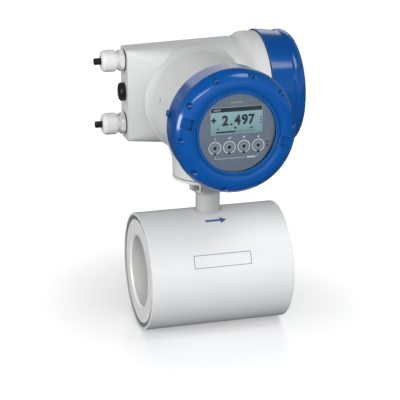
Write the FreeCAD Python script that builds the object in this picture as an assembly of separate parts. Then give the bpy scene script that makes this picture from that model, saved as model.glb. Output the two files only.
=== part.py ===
import FreeCAD, Part
import math
import os
from FreeCAD import Vector

# Electromagnetic flow meter: a wafer sensor with a ceramic tube, and on its neck a die-cast converter.
# All sizes are in millimetres.
# The origin is the centre of the measuring bore. +X is the flow direction, the display faces -Y, +Z is up.

# Clearances
SLIDE_GAP = 0.3            # between a piece that moves and the piece next to it
REST_GAP = 0.3             # between the rear rim of a closed cover and the casting
SEAL_GAP = 0.3             # around an O-ring that travels with its cover

# Edge radii that many pieces share
FINE_EDGE = 0.4
EDGE = 0.6
SOFT_EDGE = 1.0

# Sensor
BORE_R = 40.0              # measuring bore
SENSOR_LENGTH = 163.4
SENSOR_R = 66.5            # outside of the steel shell
SHELL_WALL = 3.0
SHELL_EDGE_ROUND = 0.8
END_SEAL_WIDTH = 4.7       # between the white ring seen at each end and the shell
TUBE_END_LENGTH = 14.0
TUBE_RECESS = 0.6          # the ring sits behind the rim of the shell
TUBE_WALL = 6.0            # in the waist, where the coils are
TUBE_TAPER = 9.0
TUBE_WAIST_ROUND = 4.0
TUBE_MOUTH_CHAMFER = 2.0
END_SEAL_DEPTH = 4.5
END_SEAL_RECESS = 1.2

# Magnet system and electrodes
POLE_PLATE = 2.0
POLE_HALF_LENGTH = 26.0
POLE_HALF_WIDTH = 29.0
POLE_CORE_R = 9.0
COIL_R = 20.0
COIL_CROWN = 3.8           # a coil's flat end stays this far under the crown of the yoke
COIL_GAP = 0.3
YOKE_WALL = 2.4
YOKE_GAP = 1.0             # between the yoke and the shell
YOKE_WIDTH = 36.0
ELECTRODE_R = 2.5
ELECTRODE_HEAD_R = 5.0
ELECTRODE_HEAD_DEPTH = 2.0
ELECTRODE_RECESS = 0.3
ELECTRODE_CLEARANCE = 5.8  # from the rod's outer end to the yoke
ELECTRODE_NUT_AF = 8.0
ELECTRODE_NUT_HEIGHT = 3.2

# Neck
NECK_R = 13.7
NECK_BORE_R = 11.2
NECK_TOP_Z = 99.0
NECK_WELD = 3.0
UNION_R = 17.2
UNION_HEIGHT = 9.5
UNION_CONE = 3.0
UNION_SLOTS = 24
UNION_SLOT_WIDTH = 2.4
UNION_SLOT_DEPTH = 2.2
UNION_SLOT_START = 2.4     # above the cone of the ring
UNION_HOLE_R = 1.9
LEAD_R = 3.2

# Base plate and pedestal of the converter
BASE_Z = 105.6             # underside of the base plate
BASE_R = 39.6
BASE_PLATE = 3.6
BASE_GASKET = 0.8
BASE_GASKET_INSET = 1.2
BASE_SPIGOT_R = 16.0
BASE_POCKET_R = 25.0
BASE_POCKET_DEPTH = 12.0
BASE_SCREW_EDGE = 8.1      # from the rim of the plate to the centres of the screws
BASE_SCREW_COUNT = 4
BASE_SCREW_R = 3.0
BASE_SCREW_HEAD_R = 5.0
BASE_SCREW_HEAD = 6.0
BASE_SCREW_DEPTH = 12.0
BASE_WASHER = 1.6
BASE_WASHER_R = 6.0
PEDESTAL_STRAIGHT = 18.0   # height of the cylinder before it flares into the casting
PEDESTAL_FLARE_R = 8.0
PEDESTAL_FLARE_HEIGHT = 22.0
PEDESTAL_FLARE_FILLET = 25.0

# Converter casting
DRUM_R = 58.5              # front drum, on an axis along Y
DRUM_WALL = 5.0
DRUM_BORE_R = DRUM_R - DRUM_WALL
DRUM_FRONT_Y = -66.1
DRUM_FLOOR_Y = 8.0
DRUM_COLLAR_R = DRUM_R + 4.0
DRUM_COLLAR_UNDERSIDE_Z = 121.3
HEAD_Z = DRUM_COLLAR_UNDERSIDE_Z + DRUM_COLLAR_R  # height of both cover axes
DRUM_COLLAR_LENGTH = 14.0
DRUM_COLLAR_CONE = 6.0
DRUM_ROOT_Y = 42.0
DRUM_ROOT_R = DRUM_R + 4.5
DRUM_ROOT_LENGTH = 17.0
DRUM_ROOT_BACK = 8.0       # the root slopes back into the barrel over this length
DRUM_ROOT_FILLET = 18.0
DRUM_ROOT_EDGE = 3.0
DRUM_CONE_FILLET = 8.0
DRUM_COLLAR_ROUND = 4.0
BARREL_Y = 75.0            # axis of the terminal compartment, along X
BARREL_R = 62.0
BARREL_WALL = 5.0
ROUND_SHARE = 0.98         # the arcs' share of a round section's radius; the rest is its short flats
ENTRY_FACE_X = -80.0       # flat face that carries the cable entries
ENTRY_FACE_FRONT_Y = 44.0
ENTRY_FACE_DEPTH = 33.0
ENTRY_FACE_BOTTOM_Z = HEAD_Z - 44.8
ENTRY_FACE_HEIGHT = 105.0
ENTRY_FACE_ROUND = 4.0
BARREL_ROUND_X = 48.0      # from here on the barrel is round
COLLAR_R = 67.0
COLLAR_LENGTH = 17.0
COLLAR_RISE = 9.5
COLLAR_SINK = 0.5          # the collar starts this much under the barrel's surface
COLLAR_FOOT_FILLET = 14.0
COLLAR_SHOULDER_ROUND = 9.0
COLLAR_END_X = 79.3
BAY_R = 56.0               # terminal bay
BAY_FLOOR_X = 36.0
BAY_LEDGE = 2.0
FEEDTHROUGH_R = 7.0
FEEDTHROUGH_REACH = 28.0
SIDE_DIMPLE_R = 2.2        # blind hole in the left side of the drum
SIDE_DIMPLE_DEPTH = 2.0
SIDE_DIMPLE_Y = -9.0
SIDE_DIMPLE_DZ = 14.2
TAB_X = -60.0              # small cast tab on the front of the entry box
TAB_DZ = -2.0
TAB_LENGTH = 5.0
TAB_HEIGHT = 3.4
TAB_RISE = 2.6

# Screwed covers
THREAD_LENGTH = 15.6       # threaded neck of the casting, inside the cover
COVER_ORING_R = 1.05       # section radius
COVER_ORING_SETBACK = 2.0  # from the rear rim of the cover to its groove
COVER_STEP = 3.0           # from the drafted band to the start of the rounded shoulder
COVER_CAVITY_ROUND = 4.0
COVER_DIMPLES = 10
COVER_DIMPLE_START = 14.0
COVER_DIMPLE_R = 4.4
COVER_DIMPLE_LIFT = 1.0
COVER_DIMPLE_TILT = 50.0   # of the dimples' centres, from the radial direction towards the front
FRONT_NECK_WALL = 5.0
FRONT_THREAD_R = DRUM_BORE_R + FRONT_NECK_WALL
FRONT_COVER_R = FRONT_THREAD_R + 6.5  # rear rim
FRONT_BAND_R = FRONT_COVER_R - 0.7  # front end of the drafted band
FRONT_RING_R = FRONT_COVER_R + 2.3  # bulging ring in front of the band
FRONT_SHOULDER = 15.0
FRONT_COVER_LENGTH = 46.6
FRONT_CAVITY = 34.3        # depth of the cavity behind the window frame
WINDOW_R = 42.0
WINDOW_LIP = 1.6
WINDOW_LIP_SETBACK = 1.3
WINDOW_GROOVE_R = 45.0
WINDOW_GROOVE_WIDTH = 1.7
WINDOW_GROOVE_DEPTH = 1.0
WINDOW_GROOVE_DRAFT = 0.2
FRAME_CREST_R = 50.5
FRAME_CREST_ROUND = 1.5
GLASS_R = 47.0
GLASS_THICKNESS = 4.0
GLASS_SEAL = 0.4
GLASS_SEAL_INSET = 0.2
GLASS_EDGE_GAP = 0.5
RETAINER_INNER_R = 43.4
RETAINER_THICKNESS = 4.0
SLOT_ANGLE = 104.0         # clockwise from the top, seen from outside
SLOT_WIDTH = 11.0
SLOT_FLARE = 1.0
SLOT_DEPTH = 4.5
SLOT_INNER_DEPTH = 2.3
SLOT_START_R = 50.0
SLOT_END_R = FRONT_RING_R - 0.3
SLOT_INNER_R = 47.5
LUG_WIDTH = 6.5
LUG_HEIGHT = 2.2
LUG_LENGTH = 8.0
LUG_ROOT = 2.0             # the lug's foot inside the band
TERMINAL_COVER_R = 68.9
TERMINAL_BAND_R = 65.6
TERMINAL_RING_R = 67.1
TERMINAL_SHOULDER = 13.0
TERMINAL_COVER_LENGTH = 42.2
TERMINAL_THREAD_R = 61.0
TERMINAL_END_WALL = 5.0
TERMINAL_END_RECESS_R = 45.0
TERMINAL_END_RECESS = 1.5
TERMINAL_END_DRAFT = 2.0

# Electronics and display
CASSETTE_R = DRUM_BORE_R - 0.9
CASSETTE_FLAT = 3.2
CASSETTE_STEP = 6.0
DISPLAY_R = DRUM_BORE_R - 4.5
DISPLAY_LENGTH = 23.8
DISPLAY_FACE_STEP = 3.4    # the face stands this much in front of the body
DISPLAY_FACE_R = 42.4
FACEPLATE = 2.0
FACE_GAP = 0.5             # between the faceplate and the back of the glass
LCD_WIDTH = 57.0
LCD_HEIGHT = 29.4
LCD_CENTRE_DZ = 13.1
LCD_SINK = 0.3
LCD_THICKNESS = 3.0
LCD_EDGE_GAP = 0.2
KEY_COUNT = 4
KEY_PITCH = 15.8
KEY_CENTRE_DZ = -15.4
KEY_CENTRE_DX = 0.1
KEY_LENS_R = 1.5
KEY_LENS_LIFT = 0.2
DISPLAY_SCREW_R = 1.5
DISPLAY_SCREW_HEAD_R = 2.6
DISPLAY_SCREW_HEAD = 1.8
DISPLAY_SCREW_LENGTH = 8.0
DISPLAY_SCREW_CIRCLE_R = (DISPLAY_FACE_R + DISPLAY_R) / 2
DISPLAY_SCREW_SINK = 2.2   # the heads lie in pockets
DISPLAY_SCREW_EDGE_GAP = 0.3

# Terminals
CARRIER_R = 55.7
CARRIER = 4.0
BLOCK_LENGTH = 56.0
BLOCK_HEIGHT = 16.0
BLOCK_DEPTH = 16.0
SIGNAL_BLOCK_DZ = -26.0
POWER_BLOCK_DZ = 20.0
TERMINAL_PITCH = 8.0
TERMINAL_SCREW_R = 2.4
TERMINAL_SCREW_LIFT = 0.6
TERMINAL_SLOT_DEPTH = 1.0
TERMINAL_SLOT_WIDTH = 0.8
TERMINAL_MOUTH_WIDTH = 4.8
TERMINAL_MOUTH_HEIGHT = 4.0
FLAP_THICKNESS = 2.0
FLAP_HEIGHT = 23.0
FLAP_WIDTH = 48.0
FLAP_STANDOFF = 2.4        # between the block and the flap
FLAP_PIN_R = 1.5
FLAP_KNUCKLE_R = 3.4
FLAP_EAR = 3.0

# Cable entries
ENTRY_Y = 60.5
ENTRY_PITCH = 36.2
ENTRY_TOP_Z = HEAD_Z + 46.2
ENTRY_R = 9.4              # core of the M20 thread
ENTRY_THREAD = 8.0
GLAND_WASHER_R = 12.0
GLAND_WASHER = 1.2
GLAND_HEX_AF = 22.4
GLAND_HEX = 5.0
GLAND_HEX_ROUND_R = 12.3
GLAND_STEP_R = 10.6
GLAND_STEP = 4.8
GLAND_GROOVE = 1.0         # ring groove in the middle of the step
GLAND_GROOVE_DEPTH = 0.9
GLAND_SLEEVE_R = 8.5
GLAND_SLEEVE_BORE_R = 6.0
GLAND_SLEEVE_LENGTH = 9.2
GLAND_NUT_R = 12.3
GLAND_NUT_AF = 24.0
GLAND_NUT_LENGTH = 15.6
GLAND_NUT_DOME = 5.5
GLAND_NUT_MOUTH = 4.6
GLAND_RING = 1.6
BLANK_PIN_R = 3.75
BLANK_PIN_REACH = 7.5
PLUG_HEAD_R = 10.4
PLUG_HEAD = 5.0
PLUG_DOME = 2.2

# Earth terminal on the rear of the pedestal
EARTH_DZ = 7.5             # above the foot of the casting
EARTH_BOSS_R = 6.0
EARTH_BOSS = 4.0
EARTH_SCREW_R = 2.5
EARTH_HEAD_AF = 8.0
EARTH_HEAD = 3.5
EARTH_CLAMP = 1.6
EARTH_CLAMP_WIDTH = 8.0
EARTH_DEPTH = 8.0
EARTH_SLOT_DEPTH = 1.2
EARTH_SLOT_WIDTH = 1.0

X = Vector(1, 0, 0)
Y = Vector(0, 1, 0)
Z = Vector(0, 0, 1)
MARGIN = 1.0               # how far a cutting shape reaches past what it cuts
TOLERANCE = 0.1            # for finding an edge by its place
SAME_POINT = 1e-6


# ---------------------------------------------------------------- drawing helpers

def closed_wire(corners, place):
    """A closed outline through (u, v) corners. A third value rounds that corner."""
    count = len(corners)
    flat = [Vector(corner[0], corner[1], 0) for corner in corners]
    starts = []
    ends = []
    middles = []
    for i, corner in enumerate(corners):
        here = flat[i]
        if len(corner) < 3:
            starts.append(here)
            ends.append(here)
            middles.append(None)
            continue
        back = (flat[i - 1] - here).normalize()
        ahead = (flat[(i + 1) % count] - here).normalize()
        half = back.getAngle(ahead) / 2
        reach = corner[2] / math.tan(half)
        starts.append(here + back * reach)
        ends.append(here + ahead * reach)
        inward = (back + ahead).normalize()
        middles.append(here + inward * (corner[2] / math.sin(half) - corner[2]))
    edges = []
    for i in range(count):
        if middles[i]:
            arc = Part.Arc(place(starts[i]), place(middles[i]), place(ends[i]))
            edges.append(arc.toShape())
        after = starts[(i + 1) % count]
        if ends[i].distanceToPoint(after) > SAME_POINT:
            edges.append(Part.LineSegment(place(ends[i]), place(after)).toShape())
    return Part.Wire(edges)


def turned(corners, origin, axis, radial):
    """A solid turned about an axis. Each corner is (distance along the axis, radius)."""
    def place(point):
        return origin + axis * point.x + radial * point.y
    face = Part.Face(closed_wire(corners, place))
    return face.revolve(origin, axis, 360)


def ring(inner, outer, length, origin, axis):
    """A plain ring, or a disc if the inner radius is zero."""
    body = Part.makeCylinder(outer, length, origin, axis)
    if inner > 0:
        body = body.cut(Part.makeCylinder(inner, length, origin, axis))
    return body


def hex_prism(across_flats, length, origin, axis, side):
    """A hexagonal prism with one flat facing the side direction."""
    corner_r = across_flats / 2 / math.cos(math.radians(30))
    other = axis.cross(side)
    points = []
    for i in range(7):
        angle = math.radians(30 + 60 * i)
        points.append(origin + side * (corner_r * math.cos(angle)) + other * (corner_r * math.sin(angle)))
    return Part.Face(Part.makePolygon(points)).extrude(axis * length)


def torus(centre, axis, ring_r, section_r):
    """An O-ring."""
    return Part.makeTorus(ring_r, section_r, centre, axis)


def box_between(low, high):
    size = high - low
    return Part.makeBox(size.x, size.y, size.z, low)


def spun(shape, origin, axis, degrees):
    copy = shape.copy()
    copy.rotate(origin, axis, degrees)
    return copy


def largest(shape):
    """The biggest solid of a result that should be one solid."""
    return max(shape.Solids, key=lambda solid: solid.Volume)


def tidy(shape):
    """Joins faces that lie on the same surface."""
    return shape.removeSplitter()


# ---------------------------------------------------------------- sensor

def sensor_shell():
    """Steel tube around the magnet system, with a hole for the neck."""
    half = SENSOR_LENGTH / 2
    inner = SENSOR_R - SHELL_WALL
    shell = turned([(-half, inner), (half, inner), (half, SENSOR_R, SHELL_EDGE_ROUND),
                    (-half, SENSOR_R, SHELL_EDGE_ROUND)], Vector(0, 0, 0), X, Z)
    return shell.cut(Part.makeCylinder(NECK_R, SENSOR_R + MARGIN, Vector(0, 0, 0), Z))


def tube_end_r():
    """Radius of the white ring seen at each end."""
    return SENSOR_R - SHELL_WALL - END_SEAL_WIDTH


def measuring_tube():
    """Ceramic tube: the bore, a wide ring at each end, and a waist for the coils."""
    end = SENSOR_LENGTH / 2 - TUBE_RECESS
    step = end - TUBE_END_LENGTH
    waist = BORE_R + TUBE_WALL
    mouth = BORE_R + TUBE_MOUTH_CHAMFER
    tube = turned([(-end, mouth, SOFT_EDGE), (-end, tube_end_r(), EDGE), (-step, tube_end_r(), SOFT_EDGE),
                   (-step + TUBE_TAPER, waist, TUBE_WAIST_ROUND),
                   (step - TUBE_TAPER, waist, TUBE_WAIST_ROUND),
                   (step, tube_end_r(), SOFT_EDGE), (end, tube_end_r(), EDGE), (end, mouth, SOFT_EDGE),
                   (end - TUBE_MOUTH_CHAMFER, BORE_R), (-end + TUBE_MOUTH_CHAMFER, BORE_R)],
                  Vector(0, 0, 0), X, Z)
    for side in (-Y, Y):
        tube = tube.cut(Part.makeCylinder(ELECTRODE_R, waist + MARGIN, Vector(0, 0, 0), side))
        tube = tube.cut(Part.makeCylinder(ELECTRODE_HEAD_R, electrode_head_end(), Vector(0, 0, 0), side))
        flat = box_between(Vector(-ELECTRODE_NUT_AF, -ELECTRODE_NUT_AF, 0),
                           Vector(ELECTRODE_NUT_AF, ELECTRODE_NUT_AF, waist))
        flat.Placement = FreeCAD.Placement(side * electrode_seat(), FreeCAD.Rotation(Z, side))
        tube = tube.cut(flat)
    return tube


def electrode_head_end():
    """Distance from the bore axis to the back of an electrode's head."""
    return BORE_R + ELECTRODE_RECESS + ELECTRODE_HEAD_DEPTH


def electrode_seat():
    """Distance from the bore axis to the flat under an electrode's nut."""
    return math.sqrt((BORE_R + TUBE_WALL) ** 2 - ELECTRODE_NUT_AF ** 2)


def electrode(side):
    """Electrode with a flat head in the bore and a threaded shank."""
    start = BORE_R + ELECTRODE_RECESS
    end = yoke_inner_r() - ELECTRODE_CLEARANCE
    head = electrode_head_end()
    return turned([(start, 0), (start, ELECTRODE_HEAD_R), (head, ELECTRODE_HEAD_R), (head, ELECTRODE_R),
                   (end, ELECTRODE_R), (end, 0)],
                  Vector(0, 0, 0), side, Z)


def electrode_nuts():
    nuts = []
    for side in (-Y, Y):
        seat = side * electrode_seat()
        nut = hex_prism(ELECTRODE_NUT_AF, ELECTRODE_NUT_HEIGHT, seat, side, Z)
        nuts.append(nut.cut(Part.makeCylinder(ELECTRODE_R, ELECTRODE_NUT_HEIGHT, seat, side)))
    return nuts


def end_ring(side):
    """Steel ring that centres one end of the ceramic tube in the shell."""
    outer = SENSOR_R - SHELL_WALL
    start = SENSOR_LENGTH / 2 - TUBE_RECESS - TUBE_END_LENGTH
    end = SENSOR_LENGTH / 2 - END_SEAL_RECESS - END_SEAL_DEPTH
    return ring(tube_end_r(), outer, end - start, side * start, side)


def end_seal(side):
    """Rubber ring in the gap between shell and ceramic tube."""
    outer = SENSOR_R - SHELL_WALL
    end = SENSOR_LENGTH / 2 - END_SEAL_RECESS
    start = end - END_SEAL_DEPTH
    return turned([(start, tube_end_r()), (start, outer), (end, outer, SOFT_EDGE),
                   (end, tube_end_r(), SOFT_EDGE)], Vector(0, 0, 0), side, Z)


def yoke_inner_r():
    return SENSOR_R - SHELL_WALL - YOKE_GAP - YOKE_WALL


def magnet_yoke():
    return ring(yoke_inner_r(), yoke_inner_r() + YOKE_WALL, YOKE_WIDTH, Vector(-YOKE_WIDTH / 2, 0, 0), X)


def pole_shoe(side):
    """Curved plate on the tube, with a core that reaches the yoke."""
    waist = BORE_R + TUBE_WALL
    plate = ring(waist, waist + POLE_PLATE, 2 * POLE_HALF_LENGTH, Vector(-POLE_HALF_LENGTH, 0, 0), X)
    window = Part.makeBox(2 * POLE_HALF_LENGTH, 2 * POLE_HALF_WIDTH, SENSOR_R,
                          Vector(-POLE_HALF_LENGTH, -POLE_HALF_WIDTH, 0))
    core = Part.makeCylinder(POLE_CORE_R, SENSOR_R, Vector(0, 0, 0), Z)
    reach = ring(waist + POLE_PLATE / 2, yoke_inner_r(), 2 * POLE_HALF_LENGTH,
                 Vector(-POLE_HALF_LENGTH, 0, 0), X)
    shoe = tidy(plate.common(window).fuse(core.common(reach)))
    return spun(shoe, Vector(0, 0, 0), X, 0 if side == Z else 180)


def field_coil(side):
    start = BORE_R + TUBE_WALL + POLE_PLATE + COIL_GAP
    end = yoke_inner_r() - COIL_CROWN
    return turned([(start, POLE_CORE_R + COIL_GAP), (start, COIL_R, SOFT_EDGE), (end, COIL_R, SOFT_EDGE),
                   (end, POLE_CORE_R + COIL_GAP)], Vector(0, 0, 0), side, X)


# ---------------------------------------------------------------- neck

def neck_pipe():
    """Pipe welded on the shell, with its weld bead."""
    bottom = SENSOR_R - SHELL_WALL - COIL_GAP
    pipe = ring(NECK_BORE_R, NECK_R, NECK_TOP_Z - bottom, Vector(0, 0, bottom), Z)
    body = Part.makeCylinder(SENSOR_R, 4 * NECK_R, Vector(-2 * NECK_R, 0, 0), X)
    joined = body.fuse(Part.makeCylinder(NECK_R, NECK_TOP_Z, Vector(0, 0, 0), Z))
    seam = [edge for edge in joined.Edges if on_neck_seam(edge)]
    bead = joined.makeFillet(NECK_WELD, seam).cut(joined)
    return tidy(pipe.fuse(largest(bead)))


def on_neck_seam(edge):
    """True for the curve where the pipe meets the shell."""
    box = edge.BoundBox
    across = max(abs(box.XMin), abs(box.XMax), abs(box.YMin), abs(box.YMax))
    return across < NECK_R + TOLERANCE and SENSOR_R / 2 < box.ZMin and box.ZMax < SENSOR_R + TOLERANCE


def union_ring():
    """Slotted ring on top of the neck pipe, with a hole for a hook spanner."""
    top = NECK_TOP_Z
    low = top - UNION_HEIGHT
    body = turned([(low - UNION_CONE, NECK_R), (low, UNION_R, EDGE), (top, UNION_R, EDGE), (top, NECK_R)],
                  Vector(0, 0, 0), Z, X)
    slot = Part.makeBox(UNION_SLOT_DEPTH + MARGIN, UNION_SLOT_WIDTH, UNION_HEIGHT,
                        Vector(UNION_R - UNION_SLOT_DEPTH, -UNION_SLOT_WIDTH / 2, low + UNION_SLOT_START))
    for i in range(UNION_SLOTS):
        body = body.cut(spun(slot, Vector(0, 0, 0), Z, 360 / UNION_SLOTS * (i + 0.5)))
    hole = Part.makeCylinder(UNION_HOLE_R, UNION_R, Vector(0, 0, low + UNION_HEIGHT / 3), -Y)
    return body.cut(hole.cut(Part.makeCylinder(NECK_R + MARGIN, NECK_TOP_Z, Vector(0, 0, 0), Z)))


def yoke_top_z():
    return yoke_inner_r() + YOKE_WALL


def sensor_lead():
    """Bundle of coil and electrode wires, straight up the neck to the electronics."""
    return Part.makeCylinder(LEAD_R, cassette_bottom_z() - yoke_top_z(), Vector(0, 0, yoke_top_z()), Z)


# ---------------------------------------------------------------- base of the converter

def screw_spots():
    """Centres of the base screws, in the underside of the base plate."""
    spots = []
    for i in range(BASE_SCREW_COUNT):
        angle = math.radians(360 / BASE_SCREW_COUNT * (i + 0.5))
        reach = BASE_R - BASE_SCREW_EDGE
        spots.append(Vector(reach * math.cos(angle), reach * math.sin(angle), BASE_Z))
    return spots


def with_screw_holes(shape):
    for spot in screw_spots():
        shape = shape.cut(Part.makeCylinder(BASE_SCREW_R, base_stack() + BASE_SCREW_DEPTH, spot, Z))
    return shape


def base_stack():
    """Thickness of base plate and gasket together."""
    return BASE_PLATE + BASE_GASKET


def base_plate():
    """Round plate under the pedestal, with a spigot that stands on the neck."""
    drop = BASE_Z - NECK_TOP_Z
    plate = turned([(-drop, NECK_BORE_R), (-drop, BASE_SPIGOT_R), (0, BASE_SPIGOT_R, SOFT_EDGE),
                    (0, BASE_R, SOFT_EDGE), (BASE_PLATE, BASE_R, FINE_EDGE), (BASE_PLATE, NECK_BORE_R)],
                   Vector(0, 0, BASE_Z), Z, X)
    return with_screw_holes(plate)


def base_gasket():
    low = Vector(0, 0, BASE_Z + BASE_PLATE)
    return with_screw_holes(ring(NECK_BORE_R, BASE_R - BASE_GASKET_INSET, BASE_GASKET, low, Z))


def base_screws():
    """Hexagon-socket screws, heads down."""
    screws = []
    for spot in screw_spots():
        head_end = spot - Z * (BASE_WASHER + BASE_SCREW_HEAD)
        tip = BASE_SCREW_HEAD + BASE_WASHER + base_stack() + BASE_SCREW_DEPTH
        screw = turned([(0, 0), (0, BASE_SCREW_HEAD_R, EDGE), (BASE_SCREW_HEAD, BASE_SCREW_HEAD_R),
                        (BASE_SCREW_HEAD, BASE_SCREW_R), (tip, BASE_SCREW_R), (tip, 0)], head_end, Z, X)
        socket = hex_prism(BASE_SCREW_HEAD_R, BASE_SCREW_HEAD / 2, head_end, Z, X)
        screws.append(screw.cut(socket))
    return screws


def base_washers():
    washers = []
    for spot in screw_spots():
        washers.append(ring(BASE_SCREW_R, BASE_WASHER_R, BASE_WASHER, spot - Z * BASE_WASHER, Z))
    return washers


# ---------------------------------------------------------------- converter casting

def barrel_section(x, front_y, back_y, low_z, high_z, round_r):
    """Cross-section of the barrel at one place along X, always of four sides and four arcs."""
    def place(point):
        return Vector(x, point.x, point.y)
    corners = [(front_y, low_z, round_r), (back_y, low_z, round_r), (back_y, high_z, round_r),
               (front_y, high_z, round_r)]
    return closed_wire(corners, place)


def round_section(x, radius):
    """A section that is a circle, but for four very short flats that match the entry face."""
    return barrel_section(x, BARREL_Y - radius, BARREL_Y + radius, HEAD_Z - radius, HEAD_Z + radius,
                          radius * ROUND_SHARE)


def entry_section(x, inset):
    return barrel_section(x, ENTRY_FACE_FRONT_Y + inset, ENTRY_FACE_FRONT_Y + ENTRY_FACE_DEPTH - inset,
                          ENTRY_FACE_BOTTOM_Z + inset, ENTRY_FACE_BOTTOM_Z + ENTRY_FACE_HEIGHT - inset,
                          ENTRY_FACE_ROUND)


def earth_z():
    return BASE_Z + base_stack() + EARTH_DZ


def collar_and_neck():
    """Raised collar at the open end of the barrel, and the threaded neck of its cover."""
    start = BARREL_ROUND_X - MARGIN
    shoulder = COLLAR_END_X - COLLAR_LENGTH
    end = COLLAR_END_X + THREAD_LENGTH
    return turned([(start, 0), (start, BARREL_R - COLLAR_SINK),
                   (shoulder - COLLAR_RISE, BARREL_R - COLLAR_SINK, COLLAR_FOOT_FILLET),
                   (shoulder, COLLAR_R, COLLAR_SHOULDER_ROUND), (COLLAR_END_X, COLLAR_R, EDGE),
                   (COLLAR_END_X, TERMINAL_THREAD_R), (end, TERMINAL_THREAD_R, SOFT_EDGE), (end, 0)],
                  Vector(0, BARREL_Y, HEAD_Z), X, Z)


def front_drum():
    """Drum of the electronics compartment: threaded neck, collar, and a root that widens into the barrel."""
    neck_end = DRUM_FRONT_Y - THREAD_LENGTH
    collar_back = DRUM_FRONT_Y + DRUM_COLLAR_LENGTH
    root_end = DRUM_ROOT_Y + DRUM_ROOT_BACK
    return turned([(neck_end, 0), (neck_end, FRONT_THREAD_R, SOFT_EDGE), (DRUM_FRONT_Y, FRONT_THREAD_R),
                   (DRUM_FRONT_Y, DRUM_COLLAR_R, EDGE), (collar_back, DRUM_COLLAR_R, DRUM_COLLAR_ROUND),
                   (collar_back + DRUM_COLLAR_CONE, DRUM_R, DRUM_CONE_FILLET),
                   (DRUM_ROOT_Y - DRUM_ROOT_LENGTH, DRUM_R, DRUM_ROOT_FILLET),
                   (DRUM_ROOT_Y, DRUM_ROOT_R, DRUM_ROOT_EDGE),
                   (root_end, DRUM_ROOT_R - 2 * DRUM_ROOT_BACK), (root_end, 0)], Vector(0, 0, HEAD_Z), Y, X)


def pedestal():
    """Round foot that flares into the drum."""
    bottom = BASE_Z + base_stack()
    flare = bottom + PEDESTAL_STRAIGHT
    top = flare + PEDESTAL_FLARE_HEIGHT
    return turned([(bottom, 0), (bottom, BASE_R, EDGE), (flare, BASE_R, PEDESTAL_FLARE_FILLET),
                   (top, BASE_R + PEDESTAL_FLARE_R), (top, 0)], Vector(0, 0, 0), Z, X)


def cast_tab():
    """Small block cast on the front of the entry box."""
    low = Vector(TAB_X - TAB_LENGTH / 2, ENTRY_FACE_FRONT_Y - TAB_RISE, HEAD_Z + TAB_DZ - TAB_HEIGHT / 2)
    tab = Part.makeBox(TAB_LENGTH, TAB_RISE + BARREL_WALL, TAB_HEIGHT, low)
    return tab.makeFillet(SOFT_EDGE, tab.Edges)


def side_hole():
    """Shallow blind hole in the left side of the drum, as a cutting shape."""
    centre = Vector(0, 0, HEAD_Z)
    pin = Part.makeCylinder(SIDE_DIMPLE_R, DRUM_R + MARGIN, centre + Y * SIDE_DIMPLE_Y, -X)
    core = Part.makeCylinder(DRUM_R - SIDE_DIMPLE_DEPTH, DRUM_R, centre + Y * (SIDE_DIMPLE_Y - DRUM_R / 2), Y)
    return spun(pin.cut(core), centre, Y, math.degrees(math.asin(SIDE_DIMPLE_DZ / DRUM_R)))


def casting_outside():
    """Barrel, collar, front drum and pedestal as one form."""
    barrel = Part.makeLoft([entry_section(ENTRY_FACE_X, 0), round_section(BARREL_ROUND_X, BARREL_R)], True)
    earth_boss = Part.makeCylinder(EARTH_BOSS_R, BASE_R + EARTH_BOSS, Vector(0, 0, earth_z()), Y)
    whole = barrel.fuse([collar_and_neck(), front_drum(), pedestal(), earth_boss, cast_tab()])
    return tidy(whole.cut(side_hole()))


def barrel_cavity():
    """Space inside the barrel, from the cable entries to the terminal bay."""
    narrow = entry_section(ENTRY_FACE_X + BARREL_WALL, BARREL_WALL)
    wide = round_section(BAY_FLOOR_X + MARGIN, BAY_R - BAY_LEDGE)
    bay = Part.makeCylinder(BAY_R, COLLAR_END_X + THREAD_LENGTH + MARGIN - BAY_FLOOR_X,
                            Vector(BAY_FLOOR_X, BARREL_Y, HEAD_Z), X)
    return Part.makeLoft([narrow, wide], True).fuse(bay)


def converter_housing():
    """Die-cast housing with two compartments that open through screwed covers."""
    outside = casting_outside()
    front_y = DRUM_FRONT_Y - THREAD_LENGTH - MARGIN
    drum_bay = Part.makeCylinder(DRUM_BORE_R, DRUM_FLOOR_Y - front_y, Vector(0, front_y, HEAD_Z), Y)
    guard = Part.makeBox(4 * DRUM_R, DRUM_FLOOR_Y + BARREL_WALL - front_y, 4 * DRUM_R,
                         Vector(-2 * DRUM_R, front_y, HEAD_Z - 2 * DRUM_R))
    bottom = BASE_Z + base_stack()
    pocket = Part.makeCylinder(BASE_POCKET_R, BASE_POCKET_DEPTH, Vector(0, 0, bottom), Z)
    lead_hole = Part.makeCylinder(NECK_BORE_R, HEAD_Z - bottom, Vector(0, 0, bottom), Z)
    link = Part.makeCylinder(FEEDTHROUGH_R, FEEDTHROUGH_REACH, Vector(0, DRUM_FLOOR_Y, HEAD_Z), Y)
    cuts = [drum_bay, barrel_cavity().cut(guard), pocket, lead_hole, link]
    for z in entry_heights():
        cuts.append(Part.makeCylinder(ENTRY_R, 3 * BARREL_WALL, Vector(ENTRY_FACE_X - MARGIN, ENTRY_Y, z), X))
    for spot in screw_spots():
        cuts.append(Part.makeCylinder(BASE_SCREW_R, base_stack() + BASE_SCREW_DEPTH, spot, Z))
    cuts.append(Part.makeCylinder(EARTH_SCREW_R, EARTH_DEPTH, earth_origin() - Y * EARTH_DEPTH, Y))
    return outside.cut(cuts)


def bay_feedthrough():
    """Insulated plug that carries the wires from one compartment to the other."""
    return Part.makeCylinder(FEEDTHROUGH_R, FEEDTHROUGH_REACH, Vector(0, DRUM_FLOOR_Y, HEAD_Z), Y)


# ---------------------------------------------------------------- screwed covers

def oring_bore(thread_r):
    """Radius of the groove's floor in the bore of a cover."""
    return thread_r + 2 * SEAL_GAP + 2 * COVER_ORING_R


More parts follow.
